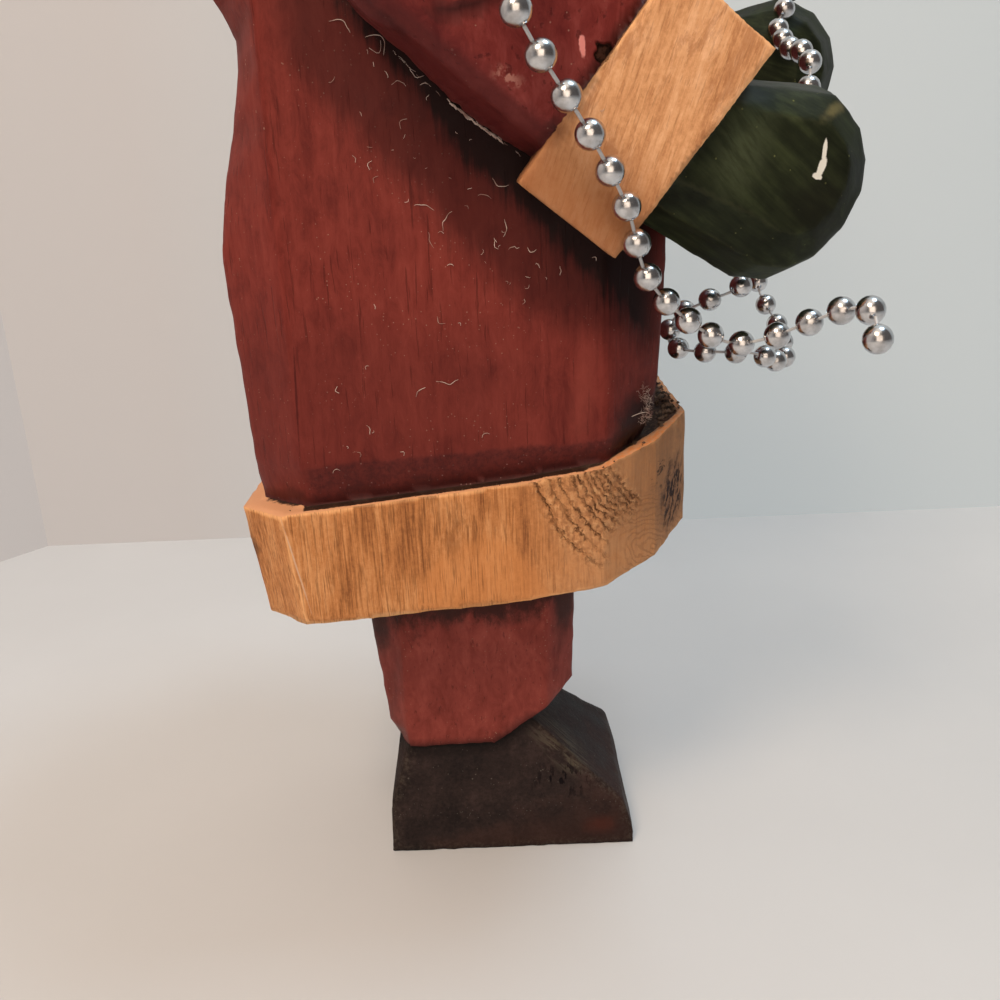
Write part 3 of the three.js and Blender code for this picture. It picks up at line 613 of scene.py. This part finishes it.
def body_finish(at, facing):
    """The finish that belongs at a place on the block that faces a given way."""
    x, y, z = abs(at.x), at.y, at.z
    if z < trouser_middle:
        instep = boot_top + max(0.0, instep_start - y) * instep_rise
        return boot_black if z < instep - 0.05 else trouser_red
    hem_low, hem_high = hem_foot + climb(y, 0.42), hem_top + climb(y, 0.62)
    if z < hem_low - 0.4 or (z < hem_high - 3 and x < 21.6 and -19 < y < 34 and facing.z > -0.6):
        return trouser_red
    if z < hem_high + 0.9 and (facing.z > 0.75 or z < hem_high - 0.6):
        return shelf_dirt if facing.z > 0.75 else hem_wood
    if (at - pompom).length < pompom_reach:
        return trim_wood
    if z > brim_top:
        return coat_red
    if z > brim_foot:
        return trim_wood
    if y < -23 and abs(z - moustache_height) < 4.4 and x < moustache_half:
        return white_paint
    down = beard_top - z
    if 0 < down < beard_length and x < beard_half(down) + 0.3:
        if y < (-9 if down < 14 else -26 if down < 22 else -36.7):
            return white_paint
    if z > neck:
        eyes = [Vector((side, eye_front, eye_height)) for side in (-eye_side, eye_side)]
        if facing.y < 0 and min((at - middle).length for middle in eyes) < eye_reach:
            return eye_paint
        return skin_paint if y < face_back and x < face_half else white_paint
    on_top, on_side = facing.z > 0.95, facing.z < 0.35
    if z > 242 and y < 40 and x < collar_half - (z - collar_foot) * 0.25 and (on_top or on_side):
        return trim_wood
    return coat_red


def growth_rings(at):
    """A point's distance from the middle of the tree, how far the rings show there and how deep they are."""
    y, z = at.y + 48, at.z - 120
    reach = math.hypot(y, z) + 0.8 * noise.noise(at * 0.17) + 0.5 * noise.noise(at * 0.55)
    turned = math.degrees(math.atan2(z, y)) + 5 * noise.noise(at * 0.21)
    shown = limited((turned + 50) / 6) * limited(0.9 + 0.6 * noise.noise(at * 0.42))
    shown *= limited((reach - 24) / 3) * limited((45 - reach) / 2)
    groove = max(math.exp(-((reach - radius) / 0.45) ** 2) for radius in ring_radii)
    return reach, shown, groove


def carve_rings(piece):
    """Cuts the growth rings' torn grooves into the hem's front corner, and keeps their places for its wood."""
    hem = finishes.index(hem_wood)
    shape = bmesh.new()
    shape.from_mesh(piece.data)
    reaches = shape.verts.layers.float.new("ring_reach")
    shares = shape.verts.layers.float.new("ring_shown")

    def on_corner(face):
        x, y, z = face.calc_center_median() / MM
        return face.material_index == hem and x < -20 and y < -3 and 80 < z < 122 and face.normal.z < 0.7
    edges = list({edge for face in shape.faces if on_corner(face) for edge in face.edges})
    bmesh.ops.subdivide_edges(shape, edges=edges, cuts=2, use_grid_fill=True)
    shape.normal_update()
    moved = {vert: vert.normal.copy() for face in shape.faces if on_corner(face) for vert in face.verts}
    for vert, outward in moved.items():
        at = vert.co / MM
        reach, vert[shares], groove = growth_rings(at)
        vert[reaches] = reach * MM
        lumps = 0.5 * noise.noise(at * 0.55) + 0.4 * noise.noise(at * 1.1)
        vert.co += outward * (lumps * 0.55 - 0.45 * groove) * vert[shares] * MM
    shape.to_mesh(piece.data)
    shape.free()


finishes = [boot_black, trouser_red, hem_wood, coat_red, shelf_dirt, trim_wood, skin_paint, white_paint,
            eye_paint]
body = blank("carved_body", "body_carving", 8, finishes, body_finish)
whittle(body, 0.14, 0.34)
carve_rings(body)
# The outer rim of the hem's top is bare where hands have rubbed the dirt off.
rims = body.data.attributes.new("outer_rim", "FLOAT", "POINT")
for mark, vert in zip(rims.data, body.data.vertices):
    x, y = abs(vert.co.x) / MM, vert.co.y / MM
    inset = min(hem_half - x, y - hem_front, hem_back - y,
                (hem_half - hem_front - x + y) * diagonal - front_cut,
                (hem_half + hem_back - x - y) * diagonal - back_cut)
    breadth = 6.5 if y > 40 else 2.1 if y < -18 else 1.4
    mark.value = limited(1.25 - inset / breadth)
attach(body, "root")
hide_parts("carved_body")

# Arms. Each is cut from one board: a sleeve bent at the elbow, a square bare cuff and a
# whittled mitten. A nail driven through the forearm holds the right one to the coat.
shoulder_place, elbow_place = Vector((-54.4, 7, 233.1)), Vector((0, 1, -28))
forearm_lowered, forearm_turned, forearm_length = 39, 14, 46.75
forearm_heading = Vector((0.188, -0.754, -0.629))
cuff_back, cuff_front, cuff_breadth, cuff_height = -14.9, 11.3, 10.8, 21.2
sleeve_end = -45


def arm_frames(raised, side):
    """Where the elbow is, turned as the sleeve runs, and where the cuff is, turned as it stands."""
    shoulder = Matrix.Translation(shoulder_place)
    pose = shoulder @ Matrix.Rotation(math.radians(-raised), 4, "X") @ Matrix.Translation(elbow_place)
    lowered = Matrix.Rotation(math.radians(forearm_lowered), 4, "X")
    sleeve = pose @ Matrix.Rotation(math.radians(forearm_turned), 4, "Z") @ lowered
    cuff = pose @ Matrix.Translation(forearm_heading * forearm_length) @ lowered
    mirror = Matrix.Diagonal((side, 1, 1, 1))
    return mirror @ sleeve, mirror @ cuff


def arm_finish(home, cuff_home):
    """Says which finish belongs where on an arm, from its own frames."""
    def choose(at, facing):
        x, y, z = cuff_home @ at
        if cuff_back < x < cuff_front and abs(y) < cuff_breadth and abs(z) < cuff_height:
            return cuff_wood
        return sleeve_red if (home @ at).y > sleeve_end else mitten_green
    return choose


def lay_grain(piece, home):
    """Keeps each point's place along the arm's own board, for the run of its grain."""
    grain = piece.data.attributes.new("board_grain", "FLOAT_VECTOR", "POINT")
    for point, vert in zip(grain.data, piece.data.vertices):
        point.vector = (home @ (vert.co / MM)) * MM


# Sleeve paint, darker below with grime and painted shade on its underside, with pink chips and a rubbed spot near a
# rusty nail hole.
sleeve_red, tree, shader, place, colour, _, patches = red_paint(
    "sleeve_red", (0.094, 0.0105, 0.0105), (0.150, 0.0215, 0.0190), (0.225, 0.0440, 0.0390), 0.10,
    (1, 0.35, 0.35), 0.10, 0.44)
chips = blob(tree, place, (-59.5, -17, 187.1), (6, 0.62, 2.0), -3, 0.3, 1.1, 1000.0)
colour = over(tree, chips, colour, (0.66, 0.24, 0.22))
# The underside is painted dark, as grime and painted shade.
shade = span(tree, sum_up(tree, "ADD", marked(tree, "under_side"), times(tree, patches, 0.3)), 0.2, 0.75)
colour = tinted(tree, colour, shade, 0.60, (0.064, 0.0110, 0.0110))
rub = blob(tree, place, (-62, -4.5, 182.6), (6, 3.6, 1.9), 30, 0.9, 1.1, 420.0)
rub = times(tree, rub, span(tree, cloud(tree, place, 700.0, 4.0, 0.7), 0.46, 0.56))
colour = tinted(tree, colour, rub, 0.85, (0.38, 0.17, 0.14))
pit = marked(tree, "nail_hole")
colour = over(tree, span(tree, pit, 0.15, 0.5), colour, (0.030, 0.014, 0.011))
rust = times(tree, span(tree, cloud(tree, place, 800.0, 3.0, 0.7), 0.5, 0.6), span(tree, pit, 0.3, 0.6))
colour = tinted(tree, colour, rust, 0.7, (0.120, 0.055, 0.038))
tree.links.new(colour, shader.inputs["Base Color"])

# Bare cuff, with leaning smudges and a darker lower half.
cuff_wood, tree, shader, place, colour, _ = bare_wood(
    "cuff_wood", (0.400, 0.170, 0.070), (0.630, 0.325, 0.155), (0.790, 0.470, 0.275), (1, 0.9, 0.09), 0.46, lean=20)
_, y, z = parts_of(tree, place)
smudge = span(tree, cloud(tree, stretch(tree, place, (1, 1, 0.30), 22), 210.0, 6.0, 0.75, 0.5), 0.50, 0.62)
colour = tinted(tree, colour, smudge, 0.50, (0.300, 0.110, 0.040))
lower = blend_of(tree, (z, 1.0), (y, -0.80), (cloud(tree, place, 120.0, 4.0, 0.6), 0.016))
colour = tinted(tree, colour, span(tree, lower, 0.204, 0.184), 0.80, (0.285, 0.108, 0.042))
tree.links.new(colour, shader.inputs["Base Color"])

# Mitten paint is nearly black green, paler where it is rubbed, with a painted sheen on its upper outer side, painted
# shade low at its end and a painted white glint at the end.
mitten_green, tree, shader = fresh_material("mitten_green", (0.018, 0.020, 0.012), 0.5)
shader.inputs["Specular IOR Level"].default_value = 0.07
place = brush(tree, "Attribute", attribute_name="board_grain").outputs["Vector"]
strokes = cloud(tree, stretch(tree, place, (1, 0.12, 1)), 600.0, 5.0, 0.6)
patches = cloud(tree, place, 80.0, 5.0, 0.6)
colour = ramp(tree, blend_of(tree, (strokes, 0.45), (patches, 0.55)),
              [(0.38, (0.0080, 0.0100, 0.0055)), (0.52, (0.0170, 0.0215, 0.0105)), (0.66, (0.036, 0.046, 0.020))])
edge = blend_of(tree, (marked(tree, "worn_edge"), 1.0), (cloud(tree, place, 400.0, 4.0, 0.7), 0.9))
colour = tinted(tree, colour, span(tree, edge, 0.85, 1.35), 0.10, (0.10, 0.10, 0.05))
grit = sum_up(tree, "MAXIMUM", specks(tree, place, 420.0, 0.10, 0.10), specks(tree, place, 1200.0, 0.18, 0.06))
colour = tinted(tree, colour, grit, 0.6, (0.16, 0.17, 0.06))
world_place = brush(tree, "TexCoord").outputs["Object"]
# A brushed painted sheen lies on the mitten's upper outer side.
painted_sheen_patch = blob(tree, world_place, (-56.7, -45, 171), (9, 8, 13), 25, 0.9, 0.6, 120.0)
bristles = cloud(tree, stretch(tree, world_place, (1, 0.1, 1), 50), 700.0, 4.0, 0.65)
brushed = span(tree, bristles, 0.36, 0.60, 0.45, 1.0)
colour = tinted(tree, colour, times(tree, painted_sheen_patch, brushed), 0.75, (0.062, 0.076, 0.040))
# The mitten's lower end is painted darker, as painted shade.
painted_shaded_end = blob(tree, world_place, (-50, -60, 160), (16, 10, 9), 0, 0.9, 0.5, 120.0)
colour = tinted(tree, colour, painted_shaded_end, 0.7, (0.0085, 0.0080, 0.0058))
rub = blob(tree, world_place, (-49.2, -62.7, 175.8), (6, 6, 1.6), -25, 0.8, 0.9, 350.0)
colour = tinted(tree, colour, rub, 0.4, (0.24, 0.20, 0.08))
# The white streak at the end is a painted glint.
painted_glint = blob(tree, world_place, (-52.4, -60.3, 169.0), (6, 0.50, 2.5), 4, 0.3, 0.8, 700.0)
for spot, size, turn in (((-52.5, -59.9, 166.3), (6, 0.80, 2.2), 20), ((-52.6, -59.2, 164.8), (6, 1.05, 0.62), 20)):
    painted_glint = sum_up(tree, "MAXIMUM", painted_glint, blob(tree, world_place, spot, size, turn, 0.3, 0.8, 700.0))
colour = over(tree, painted_glint, colour, (0.74, 0.74, 0.68))
tree.links.new(colour, shader.inputs["Base Color"])
tree.links.new(span(tree, patches, 0.35, 0.65, 0.42, 0.60), shader.inputs["Roughness"])
relief(tree, shader, blend_of(tree, (strokes, 0.8), (patches, 0.8), (grit, 0.6)), 0.5, 0.14)


def nail_hole(piece, spot, reach, depth):
    """A ragged hole left by a nail, pushed into the side of the sleeve."""
    shape = bmesh.new()
    shape.from_mesh(piece.data)
    pit = shape.verts.layers.float.new("nail_hole")
    near = {edge for face in shape.faces if (face.calc_center_median() / MM - spot).length < reach + 1.5
            for edge in face.edges}
    bmesh.ops.subdivide_edges(shape, edges=list(near), cuts=3, use_grid_fill=True)
    shape.normal_update()
    for vert in shape.verts:
        away = vert.co / MM - spot
        if away.length < reach * 1.6 and vert.normal.x < -0.3:
            ragged = away.length / reach + 0.45 * noise.noise(vert.co / MM * 0.9)
            vert[pit] = limited((1.05 - ragged) / 0.3)
            vert.co.x += vert[pit] * depth * MM
    shape.to_mesh(piece.data)
    shape.free()


def round_underside(piece, home):
    """Marks the sleeve's shaded underside, and lets it bulge out a little between elbow and cuff."""
    back, front, depth = -8, -36, 1.1
    low_side = piece.data.attributes.new("under_side", "FLOAT", "POINT")
    for hidden, vert in zip(low_side.data, piece.data.vertices):
        x, y, z = home @ (vert.co / MM)
        hidden.value = limited((-12.2 - z) / 2.4)
        if z < -15 and x > -7 and front < y < back:
            uneven = 1.0 + 0.4 * noise.noise(Vector((y, 0, 0)) * 0.6)
            bulge = math.sin(math.pi * (back - y) / (back - front)) * uneven
            vert.co += home.inverted().to_3x3() @ Vector((0, 0, -depth)) * bulge * min(1.0, (x + 7) / 8) * MM


for node, name, raised, side in (("right_arm", "right_arm_carving", 0, 1), ("left_arm", "left_arm_carving", 18, -1)):
    home, cuff_home = (pose.inverted() for pose in arm_frames(raised, side))
    limb = blank(node, name, 7, [sleeve_red, cuff_wood, mitten_green], arm_finish(home, cuff_home))
    whittle(limb, 0.12, 0.3)
    lay_grain(limb, home)
    round_underside(limb, home)
    if side == 1:
        nail_hole(limb, Vector((-58.6, -20.7, 185.8)), reach=1.75, depth=2.0)
        right_arm, right_home = limb, home.inverted()
    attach(limb, "root")
    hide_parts(node)

# Bead string. Round plastic beads with a bright silvered skin, threaded on a thin silver cord.
# It hangs from the right arm, goes over both shoulders and ends in a loop between the mittens.
anchors = {"right": Vector((-39.55, -51.55, 165.69)), "left": Vector((39.55, -69.52, 187.08)),
           "shoulder": Vector((-65.4, 7, 233.1)), "far": Vector((65.4, 7, 233.1)), "nape": Vector((0, 0, 251.1))}
# The course is given in steps from a mitten, a shoulder or the nape.
course = [
    ("right", [(-40.4, -10.7, -28.1), (-38, -11.3, -25.9), (-32.6, -12.2, -22.2), (-27, -10.6, -22.3),
               (-18.5, -6, -25.9), (-11.5, -0.5, -29.8), (-7.8, 4.8, -31.2), (-14, 14.9, -25.4),
               (-21, 23.7, -16.2), (-26.5, 28, -4.1)]),
    ("shoulder", [(-6.6, -23.9, -59.9), (-12.6, -12.6, -42.3), (-11.1, -8, -27.8), (-6.1, -3, -0.8),
                  (-4.4, -1, 10.7), (2.4, 0, 19.6), (14.4, 1, 20.2)]),
    ("nape", [(-32, 19, 6.5), (-22.5, 33.5, 6.2), (0, 40.5, 0.4), (22.5, 33.5, 6.2), (32, 19, 6.5)]),
    ("far", [(-14.4, 1, 20.2), (-2, 0, 19.8), (4.8, -4, 10.2), (6.1, -25, -11.8)]),
    ("left", [(26.5, 19.5, 25.2), (7.5, -3.5, 22.7), (-3.5, -7.5, 21.8), (-15.5, -4.5, 15.5),
              (-18.5, -1.4, 10.3), (-33.5, 0.1, 3.7), (-47.5, -0.6, 0)]),
    ("right", [(23, -15, 8.6), (22.5, -8.5, -12.4), (21.2, -3.5, -23.9), (22.5, 4.3, -27.5),
               (29.5, 9.8, -32.3), (31.5, 10.4, -37.7), (26.5, 7.9, -38.7), (17.5, -6.5, -38.5),
               (22.5, -11.1, -41.1), (29.5, -16, -42.2), (43.5, -17.8, -36.6), (53.5, -15.5, -28.7)]),
    ("left", [(-10.5, -1, -28.8)]),
]
stops = [anchors[name] + Vector(step) for name, steps in course for step in steps]


def smooth_path(points, parts):
    """A curve through all the points that passes each at a speed set by the root of its gaps."""
    ends = [points[0] * 2 - points[1], *points, points[-1] * 2 - points[-2]]
    path = []
    for a, b, c, d in zip(ends, ends[1:], ends[2:], ends[3:]):
        gaps = [math.sqrt((q - p).length) for p, q in ((a, b), (b, c), (c, d))]
        leave = ((b - a) / gaps[0] - (c - a) / (gaps[0] + gaps[1]) + (c - b) / gaps[1]) * gaps[1]
        arrive = ((c - b) / gaps[1] - (d - b) / (gaps[1] + gaps[2]) + (d - c) / gaps[2]) * gaps[1]
        for step in range(parts):
            t = step / parts
            path.append(b * (2 * t ** 3 - 3 * t ** 2 + 1) + leave * (t ** 3 - 2 * t ** 2 + t)
                        + c * (3 * t ** 2 - 2 * t ** 3) + arrive * (t ** 3 - t ** 2))
    return path + [points[-1]]


path = smooth_path(stops, 24)
reached = [0.0]
for a, b in zip(path, path[1:]):
    reached.append(reached[-1] + (b - a).length)


def on_path(distance):
    """The place at a distance along the thread, in millimetres."""
    distance = min(max(distance, 0.0), reached[-1] - 0.001)
    after = next(i for i, value in enumerate(reached) if value > distance)
    share = (distance - reached[after - 1]) / (reached[after] - reached[after - 1])
    return path[after - 1].lerp(path[after], share)


silver, tree, shader = fresh_material("silvered_plastic", (0.80, 0.80, 0.82), 0.16)
shader.inputs["Metallic"].default_value = 1.0
place = brush(tree, "TexCoord").outputs["Object"]
haze = cloud(tree, place, 420.0, 4.0, 0.6)
tree.links.new(ramp(tree, haze, [(0.35, (0.43, 0.42, 0.42)), (0.6, (0.63, 0.63, 0.64))]), shader.inputs["Base Color"])
tree.links.new(span(tree, haze, 0.35, 0.7, 0.26, 0.16), shader.inputs["Roughness"])
grey_thread = fresh_material("silver_thread", (0.45, 0.45, 0.46), 0.45)[0]

pitch_of_beads, bead_half, slide = 7.2, 2.5, 2.2
count = int(reached[-1] // pitch_of_beads)
bpy.ops.mesh.primitive_uv_sphere_add(segments=20, ring_count=12, radius=bead_half * MM)
first_bead = bpy.context.object
first_bead.data.materials.append(silver)
bpy.ops.object.shade_smooth()
beads = []
for i in range(count):
    # The beads have slid along the thread a little where it hangs from the right arm.
    slid = min(1.0, i / 7) * limited((44 - i) / 16)
    along_thread = (i + 0.5) * pitch_of_beads + slide * slid * slid * (3 - 2 * slid)
    centre = on_path(along_thread)
    heading = on_path(along_thread + 1) - on_path(along_thread - 1)
    bead = bpy.data.objects.new(f"bead_{i:02d}", first_bead.data.copy())
    bpy.context.collection.objects.link(bead)
    bead.data.transform(Matrix.Translation(centre * MM) @ heading.to_track_quat("Z", "Y").to_matrix().to_4x4())
    beads.append(bead)
bpy.data.objects.remove(first_bead)

thread_half, thread_step, ring, rows = 0.30, 1.2, 8, []
turns = [k * math.tau / ring for k in range(ring)]
sideline = Vector((1, 0, 0))
for i in range(3, int(reached[-1] // thread_step) - 2):
    centre = on_path(i * thread_step)
    heading = (on_path(i * thread_step + thread_step / 2) - on_path(i * thread_step - thread_step / 2)).normalized()
    sideline = (sideline - heading * sideline.dot(heading)).normalized()
    beside = heading.cross(sideline)
    around = [sideline * math.cos(turn) + beside * math.sin(turn) for turn in turns]
    rows.append([(centre + step * thread_half) * MM for step in around])
faces = [[r * ring + k, r * ring + (k + 1) % ring, (r + 1) * ring + (k + 1) % ring, (r + 1) * ring + k]
         for r in range(len(rows) - 1) for k in range(ring)]
faces += [list(range(ring))[::-1], [(len(rows) - 1) * ring + k for k in range(ring)]]
mesh = bpy.data.meshes.new("thread")
mesh.from_pydata([corner for row in rows for corner in row], [], faces)
thread = bpy.data.objects.new("bead_thread", mesh)
bpy.context.collection.objects.link(thread)
mesh.materials.append(grey_thread)
alone(thread)
bpy.ops.object.shade_smooth()
for bead in beads:
    bead.select_set(True)
bpy.ops.object.join()
thread.name = "bead_string_beads"
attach(thread, "root")
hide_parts("bead_string")

# Dust. Years on a shelf left lint caught on the whittled paint, most of it under the right
# sleeve, a cobweb behind the hem's front corner, and crumbs of dust in the hem's ledge.
carriers = []
for piece in (body, right_arm, limb):
    rough = bmesh.new()
    rough.from_mesh(piece.data)
    carriers.append(BVHTree.FromBMesh(rough))
    rough.free()


def landing(start, heading):
    """The first place where something thrown at the figure would land, in millimetres."""
    hits = [carrier.ray_cast(Vector(start) * MM, Vector(heading)) for carrier in carriers]
    hits = [(hit[3], hit[0] / MM, hit[1]) for hit in hits if hit[0] is not None]
    return min(hits, key=lambda hit: hit[0])[1:] if hits else None


def nearest(spot):
    """The place on the figure's surface that is nearest to a spot, in millimetres."""
    found = [carrier.find_nearest(Vector(spot) * MM) for carrier in carriers]
    return min(found, key=lambda hit: hit[3])[0] / MM


corners, sides, crumbs = [], [], set()


def hair(points, radius):
    """Adds a thin tapered thread along a few points."""
    first = len(corners)
    for i, point in enumerate(points):
        heading = (points[min(i + 1, len(points) - 1)] - points[max(i - 1, 0)]).normalized()
        beside = heading.orthogonal().normalized()
        third = heading.cross(beside)
        girth = radius * (0.45 + 0.55 * math.sin(math.pi * (i + 0.5) / len(points)))
        for k in range(4):
            turn = k * math.tau / 4
            corners.append((point + (beside * math.cos(turn) + third * math.sin(turn)) * girth) * MM)
    for i in range(len(points) - 1):
        at = first + i * 4
        sides.extend([at + k, at + (k + 1) % 4, at + 4 + (k + 1) % 4, at + 4 + k] for k in range(4))
    last = first + (len(points) - 1) * 4
    sides.extend([[first + 3, first + 2, first + 1, first], [last, last + 1, last + 2, last + 3]])


def curl(start, end, heading, bow, radius):
    """A bent piece of lint laid on the surface between two points seen along a heading."""
    start, end, heading = Vector(start), Vector(end), Vector(heading)
    beside = (end - start).cross(heading)
    steps = max(5, int((end - start).length * 2.5))
    points, found = [], None
    for i in range(steps + 1):
        share = i / steps
        bend = bow * math.sin(math.pi * share) + 0.13 * noise.noise(start + Vector((3 * share, 0, 0)))
        found = landing(start.lerp(end, share) + beside * bend, heading) or found
        if found is None or (points and (found[0] - points[-1]).length > 2.5):
            break
        points.append(found[0] + found[1] * (radius + 0.10 * math.sin(math.pi * share)))
    if len(points) > 3:
        hair(points, radius)


strays = random.Random(7)
# Each piece of lint goes from one Y and Z to another, and bows out by a share of its length.
seen_lint = [
    (26.1, 194.4, 22.8, 192.1, 0.3), (20.0, 191.5, 17.0, 188.4, 0.5), (19.6, 189.6, 17.4, 190.6, -0.6),
    (19.2, 192.8, 17.2, 191.0, 0.2), (16.5, 190.0, 13.5, 187.4, 0.2), (12.5, 186.3, 10.1, 184.6, -0.3),
    (17.1, 185.7, 16.6, 184.5, 0.1), (16.0, 183.5, 13.5, 183.0, 0.3), (10.9, 183.1, 9.5, 183.2, 0.2),
    (14.9, 175.8, 13.7, 177.5, 0.35), (-1.6, 166.8, -4.5, 165.2, -0.3), (13.4, 162.2, 9.7, 161.3, 0.15),
    (8.4, 157.6, 6.2, 160.8, 0.15), (10.9, 157.3, 10.1, 154.4, -0.15), (1.3, 163.5, -1.1, 163.0, 0.2),
    (-3.4, 159.1, -3.1, 155.9, 0.15), (-1.5, 155.2, -2.2, 153.7, -0.3), (-4.1, 153.4, -5.3, 154.1, 0.2),
    (-7.7, 153.8, -9.3, 153.2, -0.4), (20.6, 166.6, 19.7, 167.8, 0.3), (-13.8, 150.0, -13.7, 148.3, 0.1),
    (-9.2, 150.8, -9.9, 149.8, 0.1), (-19.9, 151.3, -20.7, 150.7, 0.5), (10.4, 141.3, 8.9, 139.9, -0.3),
    (22.4, 144.3, 22.3, 143.3, 0.1), (11.3, 128.6, 6.9, 128.9, -0.18), (15.5, 125.6, 13.4, 127.3, 0.2),
    (19.5, 114.3, 18.8, 113.5, 0.6), (25.8, 120.2, 25.3, 118.3, 0.2), (28.3, 114.7, 27.7, 113.6, 0.4),
]
for y0, z0, y1, z1, bow in seen_lint:
    curl((-120, y0, z0), (-120, y1, z1), (1, 0, 0), bow, 0.075)
# Short bits lie under the sleeve, and a few more all over the figure.
for i in range(30):
    y = strays.uniform(-12, 27)
    z = 157 + 1.07 * (y - 6) + strays.uniform(-4, 24)
    lean = strays.uniform(0, math.tau)
    reach = strays.uniform(0.4, 1.1)
    curl((-120, y, z), (-120, y + reach * math.cos(lean), z + reach * math.sin(lean)), (1, 0, 0),
         strays.uniform(-0.4, 0.4), strays.uniform(0.045, 0.07))
for i in range(70):
    from_side = strays.choice(((1, 0, 0), (-1, 0, 0), (0, -1, 0), (0, 1, 0)))
    wide, z = strays.uniform(-30, 38), strays.uniform(108, 240)
    lean, reach = strays.uniform(0, math.tau), strays.uniform(0.5, 1.9)
    start = Vector(from_side) * -150 + Vector((0, wide, z) if from_side[0] else (wide * 0.8, 0, z))
    step = Vector((0, math.cos(lean), 0) if from_side[0] else (math.cos(lean), 0, 0)) * reach
    curl(start, start + step + Vector((0, 0, reach * math.sin(lean))), from_side, strays.uniform(-0.5, 0.5), 0.065)

# Ragged slivers of paint and wood stand along the sleeve's lower edge.
for i in range(95):
    along_sleeve = strays.choice((strays.uniform(-30.5, -18.5), strays.uniform(-30, -20), strays.uniform(-37, -4)))
    torn = -30.5 < along_sleeve < -18.5
    low = 15.9 + 0.9 * math.sin(math.pi * min(1.0, (-2 - along_sleeve) / 34))
    spot = right_home @ Vector((8.0, along_sleeve, -low))
    spot = Vector((-43.4 - strays.uniform(0.0, 0.5), spot.y, spot.z + strays.uniform(-0.15, 0.25 if torn else 0.15)))
    run = right_home.to_3x3() @ Vector((0, -1, strays.uniform(-0.25, 0.2))) * strays.uniform(0.4, 1.3)
    twist = Vector((0, 0, strays.uniform(-0.2, 0.2)))
    hair([spot + run * t / 4 + twist * math.sin(math.pi * t / 4) for t in range(5)],
         strays.uniform(0.06, 0.17) if torn else 0.035)

# The cobweb is a small matted clump on the coat's front edge, with one bright thread below it.
web_ends = [(-35.2, -31.2, 123.0), (-34.4, -31.8, 121.0), (-34.0, -32.3, 119.0), (-34.8, -31.6, 117.4),
            (-33.2, -33.2, 116.6)]
for i in range(230):
    spot = Vector(strays.choice(web_ends)) + Vector([strays.gauss(0, 0.75) for _ in range(3)])
    spot = nearest(spot)
    swing = Vector([strays.uniform(-1, 1) for _ in range(3)]).normalized() * strays.uniform(0.3, 1.0)
    twist = swing.orthogonal() * strays.uniform(-0.6, 0.6)
    lift = Vector((-0.20, -0.12, 0.05)) * strays.uniform(0.2, 2.2)
    hair([spot + lift * t / 4 + swing * t / 5 + twist * math.sin(math.pi * t / 5) for t in range(6)], 0.028)
arch = [Vector((-37.7, -28.4, 118.3)).lerp(Vector((-33.4, -33.2, 117.2)), t / 10) for t in range(11)]
hair([spot + Vector((-0.5, -0.5, 0.9)) * math.sin(math.pi * t / 10) for t, spot in enumerate(arch)], 0.085)


def crumb(x, y, flattest, smallest, largest, spread):
    """Drops a crumb of dust on the hem's ledge, if a level enough place lies below."""
    found = landing((x, y, 140), (0, 0, -1))
    if found is None or found[1].z < flattest or found[0].z > 122:
        return
    size = strays.uniform(smallest, largest)
    first = len(corners)
    for tip in ((1, 0, 0), (0, 1, 0), (-1, 0, 0), (0, -1, 0), (0, 0, 1), (0, 0, -0.6)):
        reach = Vector(tip) * size * strays.uniform(1 - spread, 1 + spread)
        corners.append((found[0] + reach + Vector((0, 0, size * 0.5))) * MM)
    for k in range(4):
        sides.extend([[first + k, first + (k + 1) % 4, first + 4], [first + (k + 1) % 4, first + k, first + 5]])
    crumbs.update(range(len(sides) - 8, len(sides)))


# Crumbs of old dust are heaped behind the hem's front corner and lie thinly along its sides.
for i in range(420):
    if i % 2:
        along_rim = strays.random()
        y, x = -30.5 - 9.5 * along_rim + strays.gauss(0, 0.9), -36 + 20 * along_rim + strays.gauss(0, 0.9)
    else:
        y, x = -39.6 + strays.gauss(0, 0.8), strays.uniform(-22, 20)
    crumb(x, y, 0.5, 0.15, 0.55, 0.4)
for i in range(70):
    side = strays.choice((-1, -1, 1))
    y = strays.uniform(-40, 50)
    x = side * (strays.uniform(40.0, 44.0) if y > -22 else strays.uniform(24, 44) - (-22 - y) * 0.5)
    crumb(x, y, 0.6, 0.10, 0.30, 0.3)

lint_grey, tree, shader = fresh_material("lint_grey", (0.42, 0.30, 0.25), 0.9)
place = brush(tree, "TexCoord").outputs["Object"]
colour = ramp(tree, cloud(tree, place, 350.0, 2.0), [(0.4, (0.30, 0.17, 0.14)), (0.6, (0.62, 0.50, 0.44))])
tree.links.new(colour, shader.inputs["Base Color"])
crumb_brown, tree, shader = fresh_material("crumb_brown", (0.06, 0.04, 0.03), 0.9)
place = brush(tree, "TexCoord").outputs["Object"]
colour = ramp(tree, cloud(tree, place, 420.0, 2.0),
              [(0.38, (0.022, 0.014, 0.009)), (0.50, (0.085, 0.050, 0.028)), (0.64, (0.21, 0.13, 0.085))])
tree.links.new(colour, shader.inputs["Base Color"])
mesh = bpy.data.meshes.new("lint_and_dust")
mesh.from_pydata(corners, [], sides)
mesh.materials.append(lint_grey)
mesh.materials.append(crumb_brown)
for face in mesh.polygons:
    face.material_index = 1 if face.index in crumbs else 0
lint = bpy.data.objects.new("lint_and_dust", mesh)
bpy.context.collection.objects.link(lint)
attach(lint, "root")
